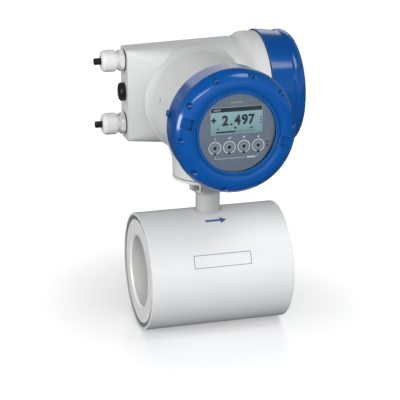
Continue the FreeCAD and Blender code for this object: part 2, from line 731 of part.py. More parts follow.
def groove_corners(thread_r):
    """The bore of a cover from its groove back to the rear rim, for a turned outline."""
    bore = thread_r + SLIDE_GAP
    start = COVER_ORING_SETBACK
    end = start + 2 * COVER_ORING_R + 2 * SEAL_GAP
    return [(end, bore), (end, oring_bore(thread_r)), (start, oring_bore(thread_r)), (start, bore), (0, bore)]


def cover_oring(origin, axis, thread_r):
    centre = origin + axis * (COVER_ORING_SETBACK + SEAL_GAP + COVER_ORING_R)
    return torus(centre, axis, thread_r + SEAL_GAP + COVER_ORING_R, COVER_ORING_R)


def cover_flank(rim_r, band_r, ring_r, shoulder, cover_length):
    """Outer corners of a cover: drafted band, a step up to a bulging ring, and the rounded shoulder."""
    band_end = cover_length - shoulder - COVER_STEP
    return [(0, rim_r, EDGE), (band_end, band_r, SOFT_EDGE), (band_end + COVER_STEP / 2, ring_r, SOFT_EDGE),
            (cover_length, ring_r, shoulder)]


def with_dimples(cover, origin, axis, up, ring_r, shoulder, cover_length):
    """Cuts the ring of spanner dimples into the rounded shoulder of a cover."""
    tilt = math.radians(COVER_DIMPLE_TILT)
    along = cover_length - shoulder + (shoulder + COVER_DIMPLE_LIFT) * math.sin(tilt)
    out = ring_r - shoulder + (shoulder + COVER_DIMPLE_LIFT) * math.cos(tilt)
    ball = Part.makeSphere(COVER_DIMPLE_R, origin + axis * along + up * out)
    balls = []
    for i in range(COVER_DIMPLES):
        balls.append(spun(ball, origin, axis, -(COVER_DIMPLE_START + 360 / COVER_DIMPLES * i)))
    return cover.cut(balls)


def slot_block(width, depth, start_r, end_r, origin, axis, up, cover_length):
    """A radial groove with sloping sides, pointing up, cut from the front of a cover."""
    across = up.cross(axis)
    floor = cover_length - depth
    top = cover_length + MARGIN
    half = width / 2
    wide = half + SLOT_FLARE
    corners = [(-half, floor, EDGE), (half, floor, EDGE), (wide, top), (-wide, top)]

    def place(point):
        return origin + up * start_r + across * point.x + axis * point.y
    return Part.Face(closed_wire(corners, place)).extrude(up * (end_r - start_r))


def with_slots(cover, origin, axis, up, cover_length):
    """Two grooves, on opposite sides, for a bar that turns the cover."""
    deep = slot_block(SLOT_WIDTH, SLOT_DEPTH, SLOT_START_R, SLOT_END_R, origin, axis, up, cover_length)
    shallow = slot_block(SLOT_WIDTH, SLOT_INNER_DEPTH, SLOT_INNER_R, SLOT_START_R + MARGIN, origin, axis,
                         up, cover_length)
    block = deep.fuse(shallow)
    return cover.cut([spun(block, origin, axis, -SLOT_ANGLE), spun(block, origin, axis, 180 - SLOT_ANGLE)])


def front_origin():
    """Centre of the front cover's rear rim when it is closed."""
    return Vector(0, DRUM_FRONT_Y - REST_GAP, HEAD_Z)


def terminal_origin():
    return Vector(COLLAR_END_X + REST_GAP, BARREL_Y, HEAD_Z)


def glass_seat():
    """Distance from the front cover's rear rim to the shoulder that the window seal lies on."""
    return FRONT_COVER_LENGTH - WINDOW_LIP_SETBACK - WINDOW_LIP


def front_cover():
    """Cast ring with the window opening, grooves, dimples and one sealing lug."""
    end = FRONT_COVER_LENGTH
    lip = end - WINDOW_LIP_SETBACK
    groove_end = WINDOW_GROOVE_R + WINDOW_GROOVE_WIDTH
    groove_floor = lip - WINDOW_GROOVE_DEPTH
    seat_r = GLASS_R + GLASS_EDGE_GAP
    bore = FRONT_THREAD_R + SLIDE_GAP
    corners = cover_flank(FRONT_COVER_R, FRONT_BAND_R, FRONT_RING_R, FRONT_SHOULDER, end)
    corners += [(end, FRAME_CREST_R, FRAME_CREST_ROUND), (lip, groove_end, FINE_EDGE),
                (groove_floor, groove_end - WINDOW_GROOVE_DRAFT, FINE_EDGE),
                (groove_floor, WINDOW_GROOVE_R + WINDOW_GROOVE_DRAFT, FINE_EDGE),
                (lip, WINDOW_GROOVE_R, FINE_EDGE), (lip, WINDOW_R, EDGE), (glass_seat(), WINDOW_R),
                (glass_seat(), seat_r), (FRONT_CAVITY, seat_r), (FRONT_CAVITY, bore, COVER_CAVITY_ROUND)]
    cover = turned(corners + groove_corners(FRONT_THREAD_R), front_origin(), -Y, Z)
    lug = Part.makeBox(LUG_WIDTH, LUG_LENGTH, LUG_HEIGHT + LUG_ROOT,
                       front_origin() + Vector(-LUG_WIDTH / 2, -LUG_LENGTH, FRONT_COVER_R - LUG_ROOT))
    lug = lug.makeFillet(FINE_EDGE, lug.Edges)
    cover = cover.fuse(spun(lug, front_origin(), -Y, -(SLOT_ANGLE + 180)))
    cover = with_slots(cover, front_origin(), -Y, Z, end)
    return with_dimples(cover, front_origin(), -Y, Z, FRONT_RING_R, FRONT_SHOULDER, end)


def window_seal():
    start = front_origin() - Y * (glass_seat() - GLASS_SEAL)
    return ring(WINDOW_R + GLASS_SEAL_INSET, GLASS_R, GLASS_SEAL, start, -Y)


def glass_back():
    """Distance from the front cover's rear rim to the back of the glass."""
    return glass_seat() - GLASS_SEAL - GLASS_THICKNESS


def window_glass():
    return Part.makeCylinder(GLASS_R, GLASS_THICKNESS, front_origin() - Y * glass_back(), -Y)


def glass_retainer():
    """Threaded ring that presses the glass on its seal."""
    start = front_origin() - Y * (glass_back() - RETAINER_THICKNESS)
    return ring(RETAINER_INNER_R, GLASS_R + GLASS_EDGE_GAP, RETAINER_THICKNESS, start, -Y)


def terminal_cover():
    """Closed cast cap of the terminal compartment."""
    end = TERMINAL_COVER_LENGTH
    bore = TERMINAL_THREAD_R + SLIDE_GAP
    corners = cover_flank(TERMINAL_COVER_R, TERMINAL_BAND_R, TERMINAL_RING_R, TERMINAL_SHOULDER, end)
    recess = end - TERMINAL_END_RECESS
    inside = end - TERMINAL_END_WALL
    corners += [(end, TERMINAL_END_RECESS_R, SOFT_EDGE),
                (recess, TERMINAL_END_RECESS_R - TERMINAL_END_DRAFT, SOFT_EDGE),
                (recess, 0), (inside, 0), (inside, bore, COVER_CAVITY_ROUND)]
    cover = turned(corners + groove_corners(TERMINAL_THREAD_R), terminal_origin(), X, Z)
    return with_dimples(cover, terminal_origin(), X, Z, TERMINAL_RING_R, TERMINAL_SHOULDER, end)


# ---------------------------------------------------------------- electronics and display

def cassette_bottom_z():
    """Height of the flat under the electronics cassette, where the sensor wires plug in."""
    return HEAD_Z - CASSETTE_R + CASSETTE_FLAT


def electronics_cassette():
    """Plastic cassette that holds the circuit boards."""
    end = cassette_length()
    body = turned([(0, 0), (0, CASSETTE_R, SOFT_EDGE), (end - CASSETTE_STEP, CASSETTE_R, SOFT_EDGE),
                   (end - CASSETTE_STEP, DISPLAY_R), (end, DISPLAY_R), (end, 0)],
                  Vector(0, DRUM_FLOOR_Y, HEAD_Z), -Y, Z)
    under = Part.makeBox(2 * CASSETTE_R, end, CASSETTE_R,
                         Vector(-CASSETTE_R, display_start_y(), cassette_bottom_z() - CASSETTE_R))
    return body.cut(under)


def faceplate_front_y():
    return front_origin().y - glass_back() + FACE_GAP


def display_start_y():
    return faceplate_front_y() + FACEPLATE + DISPLAY_FACE_STEP + DISPLAY_LENGTH


def cassette_length():
    return DRUM_FLOOR_Y - display_start_y()


def lcd_box(width, height, front_y, back_y):
    """A block behind the display window."""
    low = Vector(-width / 2, front_y, HEAD_Z + LCD_CENTRE_DZ - height / 2)
    high = Vector(width / 2, back_y, HEAD_Z + LCD_CENTRE_DZ + height / 2)
    return box_between(low, high)


def key_spots(y):
    first = KEY_CENTRE_DX - KEY_PITCH * (KEY_COUNT - 1) / 2
    return [Vector(first + KEY_PITCH * i, y, HEAD_Z + KEY_CENTRE_DZ) for i in range(KEY_COUNT)]


def display_module():
    """Housing of the display: a disc with a smaller face that looks through the window."""
    start = display_start_y()
    face = -(faceplate_front_y() + FACEPLATE - start)
    body = turned([(0, 0), (0, DISPLAY_R, SOFT_EDGE), (DISPLAY_LENGTH, DISPLAY_R, SOFT_EDGE),
                   (DISPLAY_LENGTH, DISPLAY_FACE_R), (face, DISPLAY_FACE_R), (face, 0)],
                  Vector(0, start, HEAD_Z), -Y, Z)
    lcd_back = faceplate_front_y() + LCD_SINK + LCD_THICKNESS
    body = body.cut(lcd_box(LCD_WIDTH, LCD_HEIGHT, faceplate_front_y(), lcd_back))
    pocket_r = DISPLAY_SCREW_HEAD_R + DISPLAY_SCREW_EDGE_GAP
    for spot in display_screw_spots():
        body = body.cut(Part.makeCylinder(DISPLAY_SCREW_R, DISPLAY_SCREW_LENGTH, spot, Y))
        body = body.cut(Part.makeCylinder(pocket_r, DISPLAY_SCREW_SINK, spot, -Y))
    return body


def display_screw_spots():
    y = display_start_y() - DISPLAY_LENGTH + DISPLAY_SCREW_SINK
    spots = []
    for side in (-1, 1):
        spots.append(Vector(side * DISPLAY_SCREW_CIRCLE_R, y, HEAD_Z))
    return spots


def display_screws():
    screws = []
    outline = [(-DISPLAY_SCREW_HEAD, 0), (-DISPLAY_SCREW_HEAD, DISPLAY_SCREW_HEAD_R, FINE_EDGE),
               (0, DISPLAY_SCREW_HEAD_R), (0, DISPLAY_SCREW_R), (DISPLAY_SCREW_LENGTH, DISPLAY_SCREW_R),
               (DISPLAY_SCREW_LENGTH, 0)]
    for spot in display_screw_spots():
        screws.append(turned(outline, spot, Y, X))
    return screws


def display_faceplate():
    """Front plate with the opening for the screen and four holes for the optical keys."""
    y = faceplate_front_y()
    plate = Part.makeCylinder(DISPLAY_FACE_R, FACEPLATE, Vector(0, y, HEAD_Z), Y)
    plate = plate.cut(lcd_box(LCD_WIDTH, LCD_HEIGHT, y - MARGIN, y + FACEPLATE + MARGIN))
    for spot in key_spots(y):
        plate = plate.cut(Part.makeCylinder(KEY_LENS_R, FACEPLATE, spot, Y))
    return plate


def lcd_panel():
    y = faceplate_front_y() + LCD_SINK
    return lcd_box(LCD_WIDTH - 2 * LCD_EDGE_GAP, LCD_HEIGHT - 2 * LCD_EDGE_GAP, y, y + LCD_THICKNESS)


def optical_key_lenses():
    lenses = []
    for spot in key_spots(faceplate_front_y()):
        lenses.append(Part.makeCylinder(KEY_LENS_R, FACEPLATE + KEY_LENS_LIFT, spot - Y * KEY_LENS_LIFT, Y))
    return lenses


# ---------------------------------------------------------------- terminal compartment

def block_front_x():
    return BAY_FLOOR_X + CARRIER + BLOCK_DEPTH


def flap_pin_place():
    """A point on the axis of the flap's pin, in the middle of its length."""
    x = block_front_x() + FLAP_STANDOFF + FLAP_THICKNESS / 2
    z = HEAD_Z + POWER_BLOCK_DZ + BLOCK_HEIGHT / 2 + FLAP_KNUCKLE_R + SLIDE_GAP
    return Vector(x, BARREL_Y, z)


def terminal_carrier():
    """Plate across the bay, with two ears for the pin of the flap."""
    plate = Part.makeCylinder(CARRIER_R, CARRIER, Vector(BAY_FLOOR_X, BARREL_Y, HEAD_Z), X)
    pin = flap_pin_place()
    inner = FLAP_WIDTH / 2 + SLIDE_GAP
    for side in (-1, 1):
        y_low = min(side * inner, side * (inner + FLAP_EAR))
        ear = box_between(Vector(BAY_FLOOR_X, BARREL_Y + y_low, pin.z - FLAP_KNUCKLE_R),
                          Vector(pin.x, BARREL_Y + y_low + FLAP_EAR, pin.z + FLAP_KNUCKLE_R))
        tip = Part.makeCylinder(FLAP_KNUCKLE_R, FLAP_EAR, Vector(pin.x, BARREL_Y + y_low, pin.z), Y)
        plate = plate.fuse([ear, tip])
    hole = Part.makeCylinder(FLAP_PIN_R, 2 * (inner + FLAP_EAR), pin - Y * (inner + FLAP_EAR), Y)
    return tidy(plate).cut(hole)


def flap_pin():
    half = FLAP_WIDTH / 2 + SLIDE_GAP + FLAP_EAR
    return Part.makeCylinder(FLAP_PIN_R, 2 * half, flap_pin_place() - Y * half, Y)


def safety_flap():
    """Hinged flap that covers the power terminals."""
    pin = flap_pin_place()
    start = pin - Y * (FLAP_WIDTH / 2)
    knuckle = Part.makeCylinder(FLAP_KNUCKLE_R, FLAP_WIDTH, start, Y)
    leaf = Part.makeBox(FLAP_THICKNESS, FLAP_WIDTH, FLAP_HEIGHT,
                        start + Vector(-FLAP_THICKNESS / 2, 0, -FLAP_HEIGHT))
    grip = Part.makeBox(FLAP_THICKNESS * 2, FLAP_WIDTH / 4, FLAP_THICKNESS,
                        start + Vector(0, FLAP_WIDTH * 3 / 8, -FLAP_HEIGHT))
    hole = Part.makeCylinder(FLAP_PIN_R + SLIDE_GAP, FLAP_WIDTH, start, Y)
    return tidy(knuckle.fuse([leaf, grip])).cut(hole)


def terminal_spots(dz):
    """Places of the clamping screws on one block."""
    count = int(BLOCK_LENGTH // TERMINAL_PITCH)
    first = BARREL_Y - TERMINAL_PITCH * (count - 1) / 2
    return [Vector(block_front_x(), first + TERMINAL_PITCH * i, HEAD_Z + dz) for i in range(count)]


def terminal_block(dz):
    low = Vector(BAY_FLOOR_X + CARRIER, BARREL_Y - BLOCK_LENGTH / 2, HEAD_Z + dz - BLOCK_HEIGHT / 2)
    block = Part.makeBox(BLOCK_DEPTH, BLOCK_LENGTH, BLOCK_HEIGHT, low)
    for spot in terminal_spots(dz):
        block = block.cut(Part.makeCylinder(TERMINAL_SCREW_R, BLOCK_DEPTH / 2, spot, -X))
        mouth = Part.makeBox(BLOCK_DEPTH / 2, TERMINAL_MOUTH_WIDTH, TERMINAL_MOUTH_HEIGHT,
                             spot + Vector(-BLOCK_DEPTH / 2, -TERMINAL_MOUTH_WIDTH / 2, -BLOCK_HEIGHT / 2))
        block = block.cut(mouth)
    return block


def terminal_screws():
    screws = []
    for spot in terminal_spots(SIGNAL_BLOCK_DZ) + terminal_spots(POWER_BLOCK_DZ):
        length = BLOCK_DEPTH / 2 + TERMINAL_SCREW_LIFT
        screw = Part.makeCylinder(TERMINAL_SCREW_R, length, spot + X * TERMINAL_SCREW_LIFT, -X)
        low = Vector(TERMINAL_SCREW_LIFT - TERMINAL_SLOT_DEPTH, -TERMINAL_SCREW_R, -TERMINAL_SLOT_WIDTH / 2)
        slot = Part.makeBox(TERMINAL_SLOT_DEPTH, 2 * TERMINAL_SCREW_R, TERMINAL_SLOT_WIDTH, spot + low)
        screws.append(screw.cut(slot))
    return screws


# ---------------------------------------------------------------- cable entries

def entry_heights():
    """Heights of the upper gland, the blind plug and the lower gland."""
    return [ENTRY_TOP_Z - ENTRY_PITCH * i for i in range(3)]


def entry_origin(z):
    return Vector(ENTRY_FACE_X, ENTRY_Y, z)


def gland_washer(z):
    return turned([(0, ENTRY_R), (0, GLAND_WASHER_R, FINE_EDGE), (GLAND_WASHER, GLAND_WASHER_R, FINE_EDGE),
                   (GLAND_WASHER, ENTRY_R)], entry_origin(z), -X, Z)


def sleeve_end():
    """Distance from the entry face to the outer end of the gland's sleeve."""
    return GLAND_WASHER + GLAND_HEX + GLAND_STEP + GLAND_SLEEVE_LENGTH


def gland_body(z):
    """Plastic gland body: thread, hexagon, step and sleeve."""
    hex_end = GLAND_WASHER + GLAND_HEX
    step_end = hex_end + GLAND_STEP
    groove = hex_end + (GLAND_STEP - GLAND_GROOVE) / 2
    groove_r = GLAND_STEP_R - GLAND_GROOVE_DEPTH
    body = turned([(-ENTRY_THREAD, GLAND_SLEEVE_BORE_R), (-ENTRY_THREAD, ENTRY_R), (GLAND_WASHER, ENTRY_R),
                   (GLAND_WASHER, GLAND_STEP_R), (groove, GLAND_STEP_R, FINE_EDGE), (groove, groove_r),
                   (groove + GLAND_GROOVE, groove_r), (groove + GLAND_GROOVE, GLAND_STEP_R, FINE_EDGE),
                   (step_end, GLAND_STEP_R, FINE_EDGE), (step_end, GLAND_SLEEVE_R),
                   (sleeve_end(), GLAND_SLEEVE_R), (sleeve_end(), GLAND_SLEEVE_BORE_R)],
                  entry_origin(z), -X, Z)
    flange = hex_prism(GLAND_HEX_AF, GLAND_HEX, entry_origin(z) - X * GLAND_WASHER, -X, Y)
    rounder = turned([(GLAND_WASHER, GLAND_SLEEVE_R), (GLAND_WASHER, GLAND_HEX_ROUND_R, SOFT_EDGE),
                      (hex_end, GLAND_HEX_ROUND_R, SOFT_EDGE), (hex_end, GLAND_SLEEVE_R)],
                     entry_origin(z), -X, Z)
    return tidy(body.fuse(flange.common(rounder)))


def gland_insert(z):
    """Rubber insert that grips the blanking pin."""
    start = GLAND_WASHER + GLAND_HEX
    return ring(BLANK_PIN_R, GLAND_SLEEVE_BORE_R, sleeve_end() - start, entry_origin(z) - X * start, -X)


def nut_start():
    return GLAND_WASHER + GLAND_HEX + GLAND_STEP + SLIDE_GAP


def blanking_pin(z):
    """Pin that closes the gland while it holds no cable."""
    start = GLAND_WASHER + GLAND_HEX
    end = nut_start() + GLAND_NUT_LENGTH + BLANK_PIN_REACH
    return turned([(start, 0), (start, BLANK_PIN_R), (end, BLANK_PIN_R, EDGE), (end, 0)],
                  entry_origin(z), -X, Z)


def gland_ring(z):
    """Slip ring between the insert and the dome nut."""
    start = sleeve_end() + SLIDE_GAP
    return ring(BLANK_PIN_R + SLIDE_GAP, GLAND_SLEEVE_R, GLAND_RING, entry_origin(z) - X * start, -X)


def gland_nut(z):
    """Dome nut: hexagonal at its root, round at its mouth."""
    start = nut_start()
    end = start + GLAND_NUT_LENGTH
    inside = sleeve_end() + 2 * SLIDE_GAP + GLAND_RING
    bore = GLAND_SLEEVE_R + SLIDE_GAP
    form = turned([(start, bore), (start, GLAND_NUT_R, EDGE), (end, GLAND_NUT_R, GLAND_NUT_DOME),
                   (end, GLAND_NUT_MOUTH, FINE_EDGE), (inside, GLAND_NUT_MOUTH), (inside, bore)],
                  entry_origin(z), -X, Z)
    prism = hex_prism(GLAND_NUT_AF, GLAND_NUT_LENGTH, entry_origin(z) - X * start, -X, Y)
    return form.common(prism)


def blind_plug(z):
    """Plastic plug that closes the unused entry."""
    top = GLAND_WASHER + PLUG_HEAD
    return turned([(-ENTRY_THREAD, 0), (-ENTRY_THREAD, ENTRY_R), (GLAND_WASHER, ENTRY_R),
                   (GLAND_WASHER, PLUG_HEAD_R), (top, PLUG_HEAD_R, PLUG_DOME), (top, 0)],
                  entry_origin(z), -X, Z)


def plug_washer(z):
    return turned([(0, ENTRY_R), (0, PLUG_HEAD_R, FINE_EDGE), (GLAND_WASHER, PLUG_HEAD_R, FINE_EDGE),
                   (GLAND_WASHER, ENTRY_R)], entry_origin(z), -X, Z)


# ---------------------------------------------------------------- earth terminal

def earth_origin():
    return Vector(0, BASE_R + EARTH_BOSS, earth_z())


def earth_clamp():
    half = EARTH_CLAMP_WIDTH / 2
    centre = earth_origin()
    plate = box_between(centre + Vector(-half, 0, -half), centre + Vector(half, EARTH_CLAMP, half))
    return plate.cut(Part.makeCylinder(EARTH_SCREW_R, EARTH_CLAMP, earth_origin(), Y))


def earth_screw():
    start = earth_origin() - Y * EARTH_DEPTH
    shank = Part.makeCylinder(EARTH_SCREW_R, EARTH_DEPTH + EARTH_CLAMP, start, Y)
    head = hex_prism(EARTH_HEAD_AF, EARTH_HEAD, earth_origin() + Y * EARTH_CLAMP, Y, Z)
    length = EARTH_HEAD_AF + 2 * MARGIN
    low = Vector(-length / 2, EARTH_CLAMP + EARTH_HEAD - EARTH_SLOT_DEPTH, -EARTH_SLOT_WIDTH / 2)
    slot = Part.makeBox(length, EARTH_SLOT_DEPTH, EARTH_SLOT_WIDTH, earth_origin() + low)
    return tidy(shank.fuse(head)).cut(slot)


# ---------------------------------------------------------------- all nodes

def parts():
    upper, middle, lower = entry_heights()
    nodes = {
        "sensor_shell": sensor_shell(),
        "measuring_tube": measuring_tube(),
        "front_electrode": electrode(-Y),
        "rear_electrode": electrode(Y),
        "electrode_nuts": electrode_nuts(),
        "inlet_end_ring": end_ring(-X),
        "outlet_end_ring": end_ring(X),
        "inlet_end_seal": end_seal(-X),
        "outlet_end_seal": end_seal(X),
        "magnet_yoke": magnet_yoke(),
        "upper_pole_shoe": pole_shoe(Z),
        "lower_pole_shoe": pole_shoe(-Z),
        "upper_field_coil": field_coil(Z),
        "lower_field_coil": field_coil(-Z),
        "neck_pipe": neck_pipe(),
        "union_ring": union_ring(),
        "sensor_lead": sensor_lead(),
        "base_plate": base_plate(),
        "base_gasket": base_gasket(),
        "base_screws": base_screws(),
        "base_washers": base_washers(),
        "converter_housing": converter_housing(),
        "bay_feedthrough": bay_feedthrough(),
        "electronics_cassette": electronics_cassette(),
        "display_module": display_module(),
        "display_screws": display_screws(),
        "display_faceplate": display_faceplate(),
        "lcd_panel": lcd_panel(),
        "optical_key_lenses": optical_key_lenses(),
        "front_cover": front_cover(),
        "window_seal": window_seal(),
        "window_glass": window_glass(),
        "glass_retainer": glass_retainer(),
        "front_cover_oring": cover_oring(front_origin(), -Y, FRONT_THREAD_R),
        "terminal_cover": terminal_cover(),
        "terminal_cover_oring": cover_oring(terminal_origin(), X, TERMINAL_THREAD_R),
        "terminal_carrier": terminal_carrier(),
        "signal_terminal_block": terminal_block(SIGNAL_BLOCK_DZ),
        "power_terminal_block": terminal_block(POWER_BLOCK_DZ),
        "terminal_screws": terminal_screws(),
        "flap_pin": flap_pin(),
        "safety_flap": safety_flap(),
        "blind_plug": blind_plug(middle),
        "blind_plug_washer": plug_washer(middle),
        "earth_clamp": earth_clamp(),
        "earth_screw": earth_screw(),
    }
    for name, z in (("upper_gland", upper), ("lower_gland", lower)):
        nodes[name + "_body"] = gland_body(z)
        nodes[name + "_washer"] = gland_washer(z)
        nodes[name + "_insert"] = gland_insert(z)
        nodes[name + "_blanking_pin"] = blanking_pin(z)
        nodes[name + "_ring"] = gland_ring(z)
        nodes[name + "_nut"] = gland_nut(z)
    return nodes


os.makedirs("parts", exist_ok=True)
for name, shape in parts().items():
    if isinstance(shape, list):
        shape = Part.makeCompound(shape)
    shape.exportStep("parts/" + name + ".step")
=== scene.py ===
import bpy
import bmesh
import math
from mathutils import Matrix, Vector


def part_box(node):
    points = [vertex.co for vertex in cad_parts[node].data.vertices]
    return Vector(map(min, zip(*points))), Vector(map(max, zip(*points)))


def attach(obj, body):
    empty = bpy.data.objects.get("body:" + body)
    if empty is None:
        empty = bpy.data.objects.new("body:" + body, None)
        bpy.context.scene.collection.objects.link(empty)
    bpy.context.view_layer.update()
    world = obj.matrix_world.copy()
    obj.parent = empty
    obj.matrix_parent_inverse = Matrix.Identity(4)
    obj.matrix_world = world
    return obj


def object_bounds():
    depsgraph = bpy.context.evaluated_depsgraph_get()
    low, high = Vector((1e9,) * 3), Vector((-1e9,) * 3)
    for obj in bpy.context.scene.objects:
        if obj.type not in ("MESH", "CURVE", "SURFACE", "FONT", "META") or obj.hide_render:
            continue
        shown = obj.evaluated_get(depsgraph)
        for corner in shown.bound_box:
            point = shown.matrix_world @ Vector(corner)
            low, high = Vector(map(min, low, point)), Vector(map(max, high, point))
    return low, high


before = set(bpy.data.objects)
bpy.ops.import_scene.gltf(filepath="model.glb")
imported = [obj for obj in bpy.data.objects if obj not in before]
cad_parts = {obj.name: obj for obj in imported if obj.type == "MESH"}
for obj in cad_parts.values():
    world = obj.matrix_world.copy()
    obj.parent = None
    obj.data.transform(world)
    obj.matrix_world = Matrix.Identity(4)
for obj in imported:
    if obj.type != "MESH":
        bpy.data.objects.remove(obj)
cad_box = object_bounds()


# ---------------------------------------------------------------------------
# Sensor shell and neck pipe: rolled and turned steel in a satin light-grey
# coat. The coat has a fine orange peel and is thinner, and so a little
# darker, along the turned rims. The neck's coat is painted darker, a
# painted shadow of the converter head above it. The neck's weld bead keeps
# its ripples.
# ---------------------------------------------------------------------------
MM = 0.001


def new_finish(name, roughness):
    """A fresh material, its nodes, its links and its Principled shader."""
    finish = bpy.data.materials.new(name)
    finish.use_nodes = True
    nodes, links = finish.node_tree.nodes, finish.node_tree.links
    shader = nodes["Principled BSDF"]
    shader.inputs["Roughness"].default_value = roughness
    return finish, nodes, links, shader


def dress(finish, *node_names):
    """Puts a finish in every material slot of some CAD nodes."""
    for name in node_names:
        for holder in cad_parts[name].material_slots:
            holder.material = finish


def add_node(nodes, kind, operation="", **values):
    """Adds a shader node with its operation, and with input values by name."""
    node = nodes.new("ShaderNode" + kind)
    if operation:
        node.operation = operation
    for label, value in values.items():
        node.inputs[label.replace("_", " ")].default_value = value
    return node


def add_math(nodes, operation, fixed=None):
    """Adds a Math node, with the values of the inputs that nothing is linked to."""
    node = add_node(nodes, "Math", operation)
    for index, value in (fixed or {}).items():
        node.inputs[index].default_value = value
    return node


def new_group(name, inputs, outputs):
    """A shader node group with named number or colour sockets."""
    group = bpy.data.node_groups.new(name, "ShaderNodeTree")
    for label, kind, value in inputs:
        socket = group.interface.new_socket(label, in_out="INPUT", socket_type="NodeSocket" + kind)
        socket.default_value = value
    for label, kind in outputs:
        group.interface.new_socket(label, in_out="OUTPUT", socket_type="NodeSocket" + kind)
    start = group.nodes.new("NodeGroupInput")
    end = group.nodes.new("NodeGroupOutput")
    return group, group.nodes, group.links, start.outputs, end.inputs


def place_group(nodes, group, **values):
    """Puts a group in a material and sets its inputs by name."""
    node = nodes.new("ShaderNodeGroup")
    node.node_tree = group
    for label, value in values.items():
        node.inputs[label.replace("_", " ")].default_value = value
    return node


# coat skin: a mottled colour, an uneven gloss, and the height of a fine peel
coat_skin, nodes, links, given, result = new_group(
    "coat_skin",
    [("Colour", "Color", (0.5, 0.5, 0.5, 1)), ("Mottle", "Float", 0.04), ("Gloss", "Float", 0.4),
     ("Unevenness", "Float", 0.06), ("Peel size", "Float", 700.0)],
    [("Colour", "Color"), ("Roughness", "Float"), ("Height", "Float")])
where = add_node(nodes, "TexCoord")
peel = add_node(nodes, "TexNoise", Detail=2.0)
cloud = add_node(nodes, "TexNoise", Scale=32.0, Detail=4.0)
centred = add_math(nodes, "SUBTRACT", {1: 0.5})
mottled = add_math(nodes, "MULTIPLY_ADD", {2: 1.0})
tinted = add_node(nodes, "VectorMath", "SCALE")
gloss = add_math(nodes, "MULTIPLY_ADD")
links.new(where.outputs["Object"], peel.inputs["Vector"])
links.new(where.outputs["Object"], cloud.inputs["Vector"])
links.new(given["Peel size"], peel.inputs["Scale"])
links.new(cloud.outputs["Fac"], centred.inputs[0])
links.new(centred.outputs[0], mottled.inputs[0])
links.new(given["Mottle"], mottled.inputs[1])
links.new(given["Colour"], tinted.inputs[0])
links.new(mottled.outputs[0], tinted.inputs["Scale"])
links.new(tinted.outputs[0], result["Colour"])
links.new(centred.outputs[0], gloss.inputs[0])
links.new(given["Unevenness"], gloss.inputs[1])
links.new(given["Gloss"], gloss.inputs[2])
links.new(gloss.outputs[0], result["Roughness"])
links.new(peel.outputs["Fac"], result["Height"])

# rim mask: 1 along edges that are sharper than a small radius, 0 on open faces
rim_mask, nodes, links, given, result = new_group(
    "rim_mask", [("Strength", "Float", 4.0)], [("Mask", "Float")])
rounded = add_node(nodes, "Bevel", Radius=1.2 * MM)
rounded.samples = 4
facing = add_node(nodes, "NewGeometry")
agreement = add_node(nodes, "VectorMath", "DOT_PRODUCT")
turned = add_math(nodes, "SUBTRACT", {0: 1.0})
scaled = add_math(nodes, "MULTIPLY")
scaled.use_clamp = True
links.new(rounded.outputs["Normal"], agreement.inputs[0])
links.new(facing.outputs["Normal"], agreement.inputs[1])
links.new(agreement.outputs["Value"], turned.inputs[1])
links.new(turned.outputs[0], scaled.inputs[0])
links.new(given["Strength"], scaled.inputs[1])
links.new(scaled.outputs[0], result["Mask"])

# cavity shade: painted shade from ambient occlusion, 1 on open faces, falling to Floor in slots,
# dimples and corners
cavity_shade, nodes, links, given, result = new_group(
    "cavity_shade", [("Floor", "Float", 0.45)], [("Shade", "Float")])
crevice = add_node(nodes, "AmbientOcclusion", Distance=6 * MM)
crevice.samples = 8
deepened = add_node(nodes, "MapRange", From_Min=0.25, From_Max=0.92, To_Max=1.0)
links.new(crevice.outputs["AO"], deepened.inputs["Value"])
links.new(given["Floor"], deepened.inputs["To Min"])
links.new(deepened.outputs["Result"], result["Shade"])


def edged_colour(nodes, links, skin, edge_colour):
    """The socket of a skin's colour that turns to another tone along sharp edges."""
    edge = place_group(nodes, rim_mask, Strength=3.0)
    blend = add_node(nodes, "Mix")
    blend.data_type = "RGBA"
    blend.inputs["B"].default_value = (*edge_colour, 1)
    links.new(edge.outputs["Mask"], blend.inputs["Factor"])
    links.new(skin.outputs["Colour"], blend.inputs["A"])
    return blend.outputs["Result"]


def wear_skin(nodes, links, shader, skin, strength, depth):
    """Gives a shader the gloss of a skin, and its height as a fine bump."""
    bump = add_node(nodes, "Bump", Strength=strength, Distance=depth)
    links.new(skin.outputs["Roughness"], shader.inputs["Roughness"])
    links.new(skin.outputs["Height"], bump.inputs["Height"])
    links.new(bump.outputs["Normal"], shader.inputs["Normal"])


def painted(name, colour, rim_colour, roughness, mottle, peel_size, peel_height,
            lacquer=0.0, sheen=0.5, cavity_floor=0.75):
    """Paint on metal: a coat skin, another tone along the rims, painted shade in the hollows, and
    lacquer.
    """
    finish, nodes, links, shader = new_finish(name, roughness)
    skin = place_group(nodes, coat_skin, Colour=(*colour, 1), Mottle=mottle, Gloss=roughness,
                       Peel_size=peel_size)
    hollow = place_group(nodes, cavity_shade, Floor=cavity_floor)
    shaded = add_node(nodes, "VectorMath", "SCALE")
    links.new(edged_colour(nodes, links, skin, rim_colour), shaded.inputs[0])
    links.new(hollow.outputs["Shade"], shaded.inputs["Scale"])
    links.new(shaded.outputs[0], shader.inputs["Base Color"])
    wear_skin(nodes, links, shader, skin, strength=0.35, depth=peel_height)
    shader.inputs["Coat Weight"].default_value = lacquer
    shader.inputs["Coat Roughness"].default_value = 0.13
    shader.inputs["Specular IOR Level"].default_value = sheen
    return finish


STEEL_COAT_RIM = (0.56, 0.57, 0.58)
dress(painted("sensor_coat", (0.67, 0.68, 0.69), STEEL_COAT_RIM, roughness=0.40, mottle=0.05,
              peel_size=900.0, peel_height=0.04 * MM), "sensor_shell")
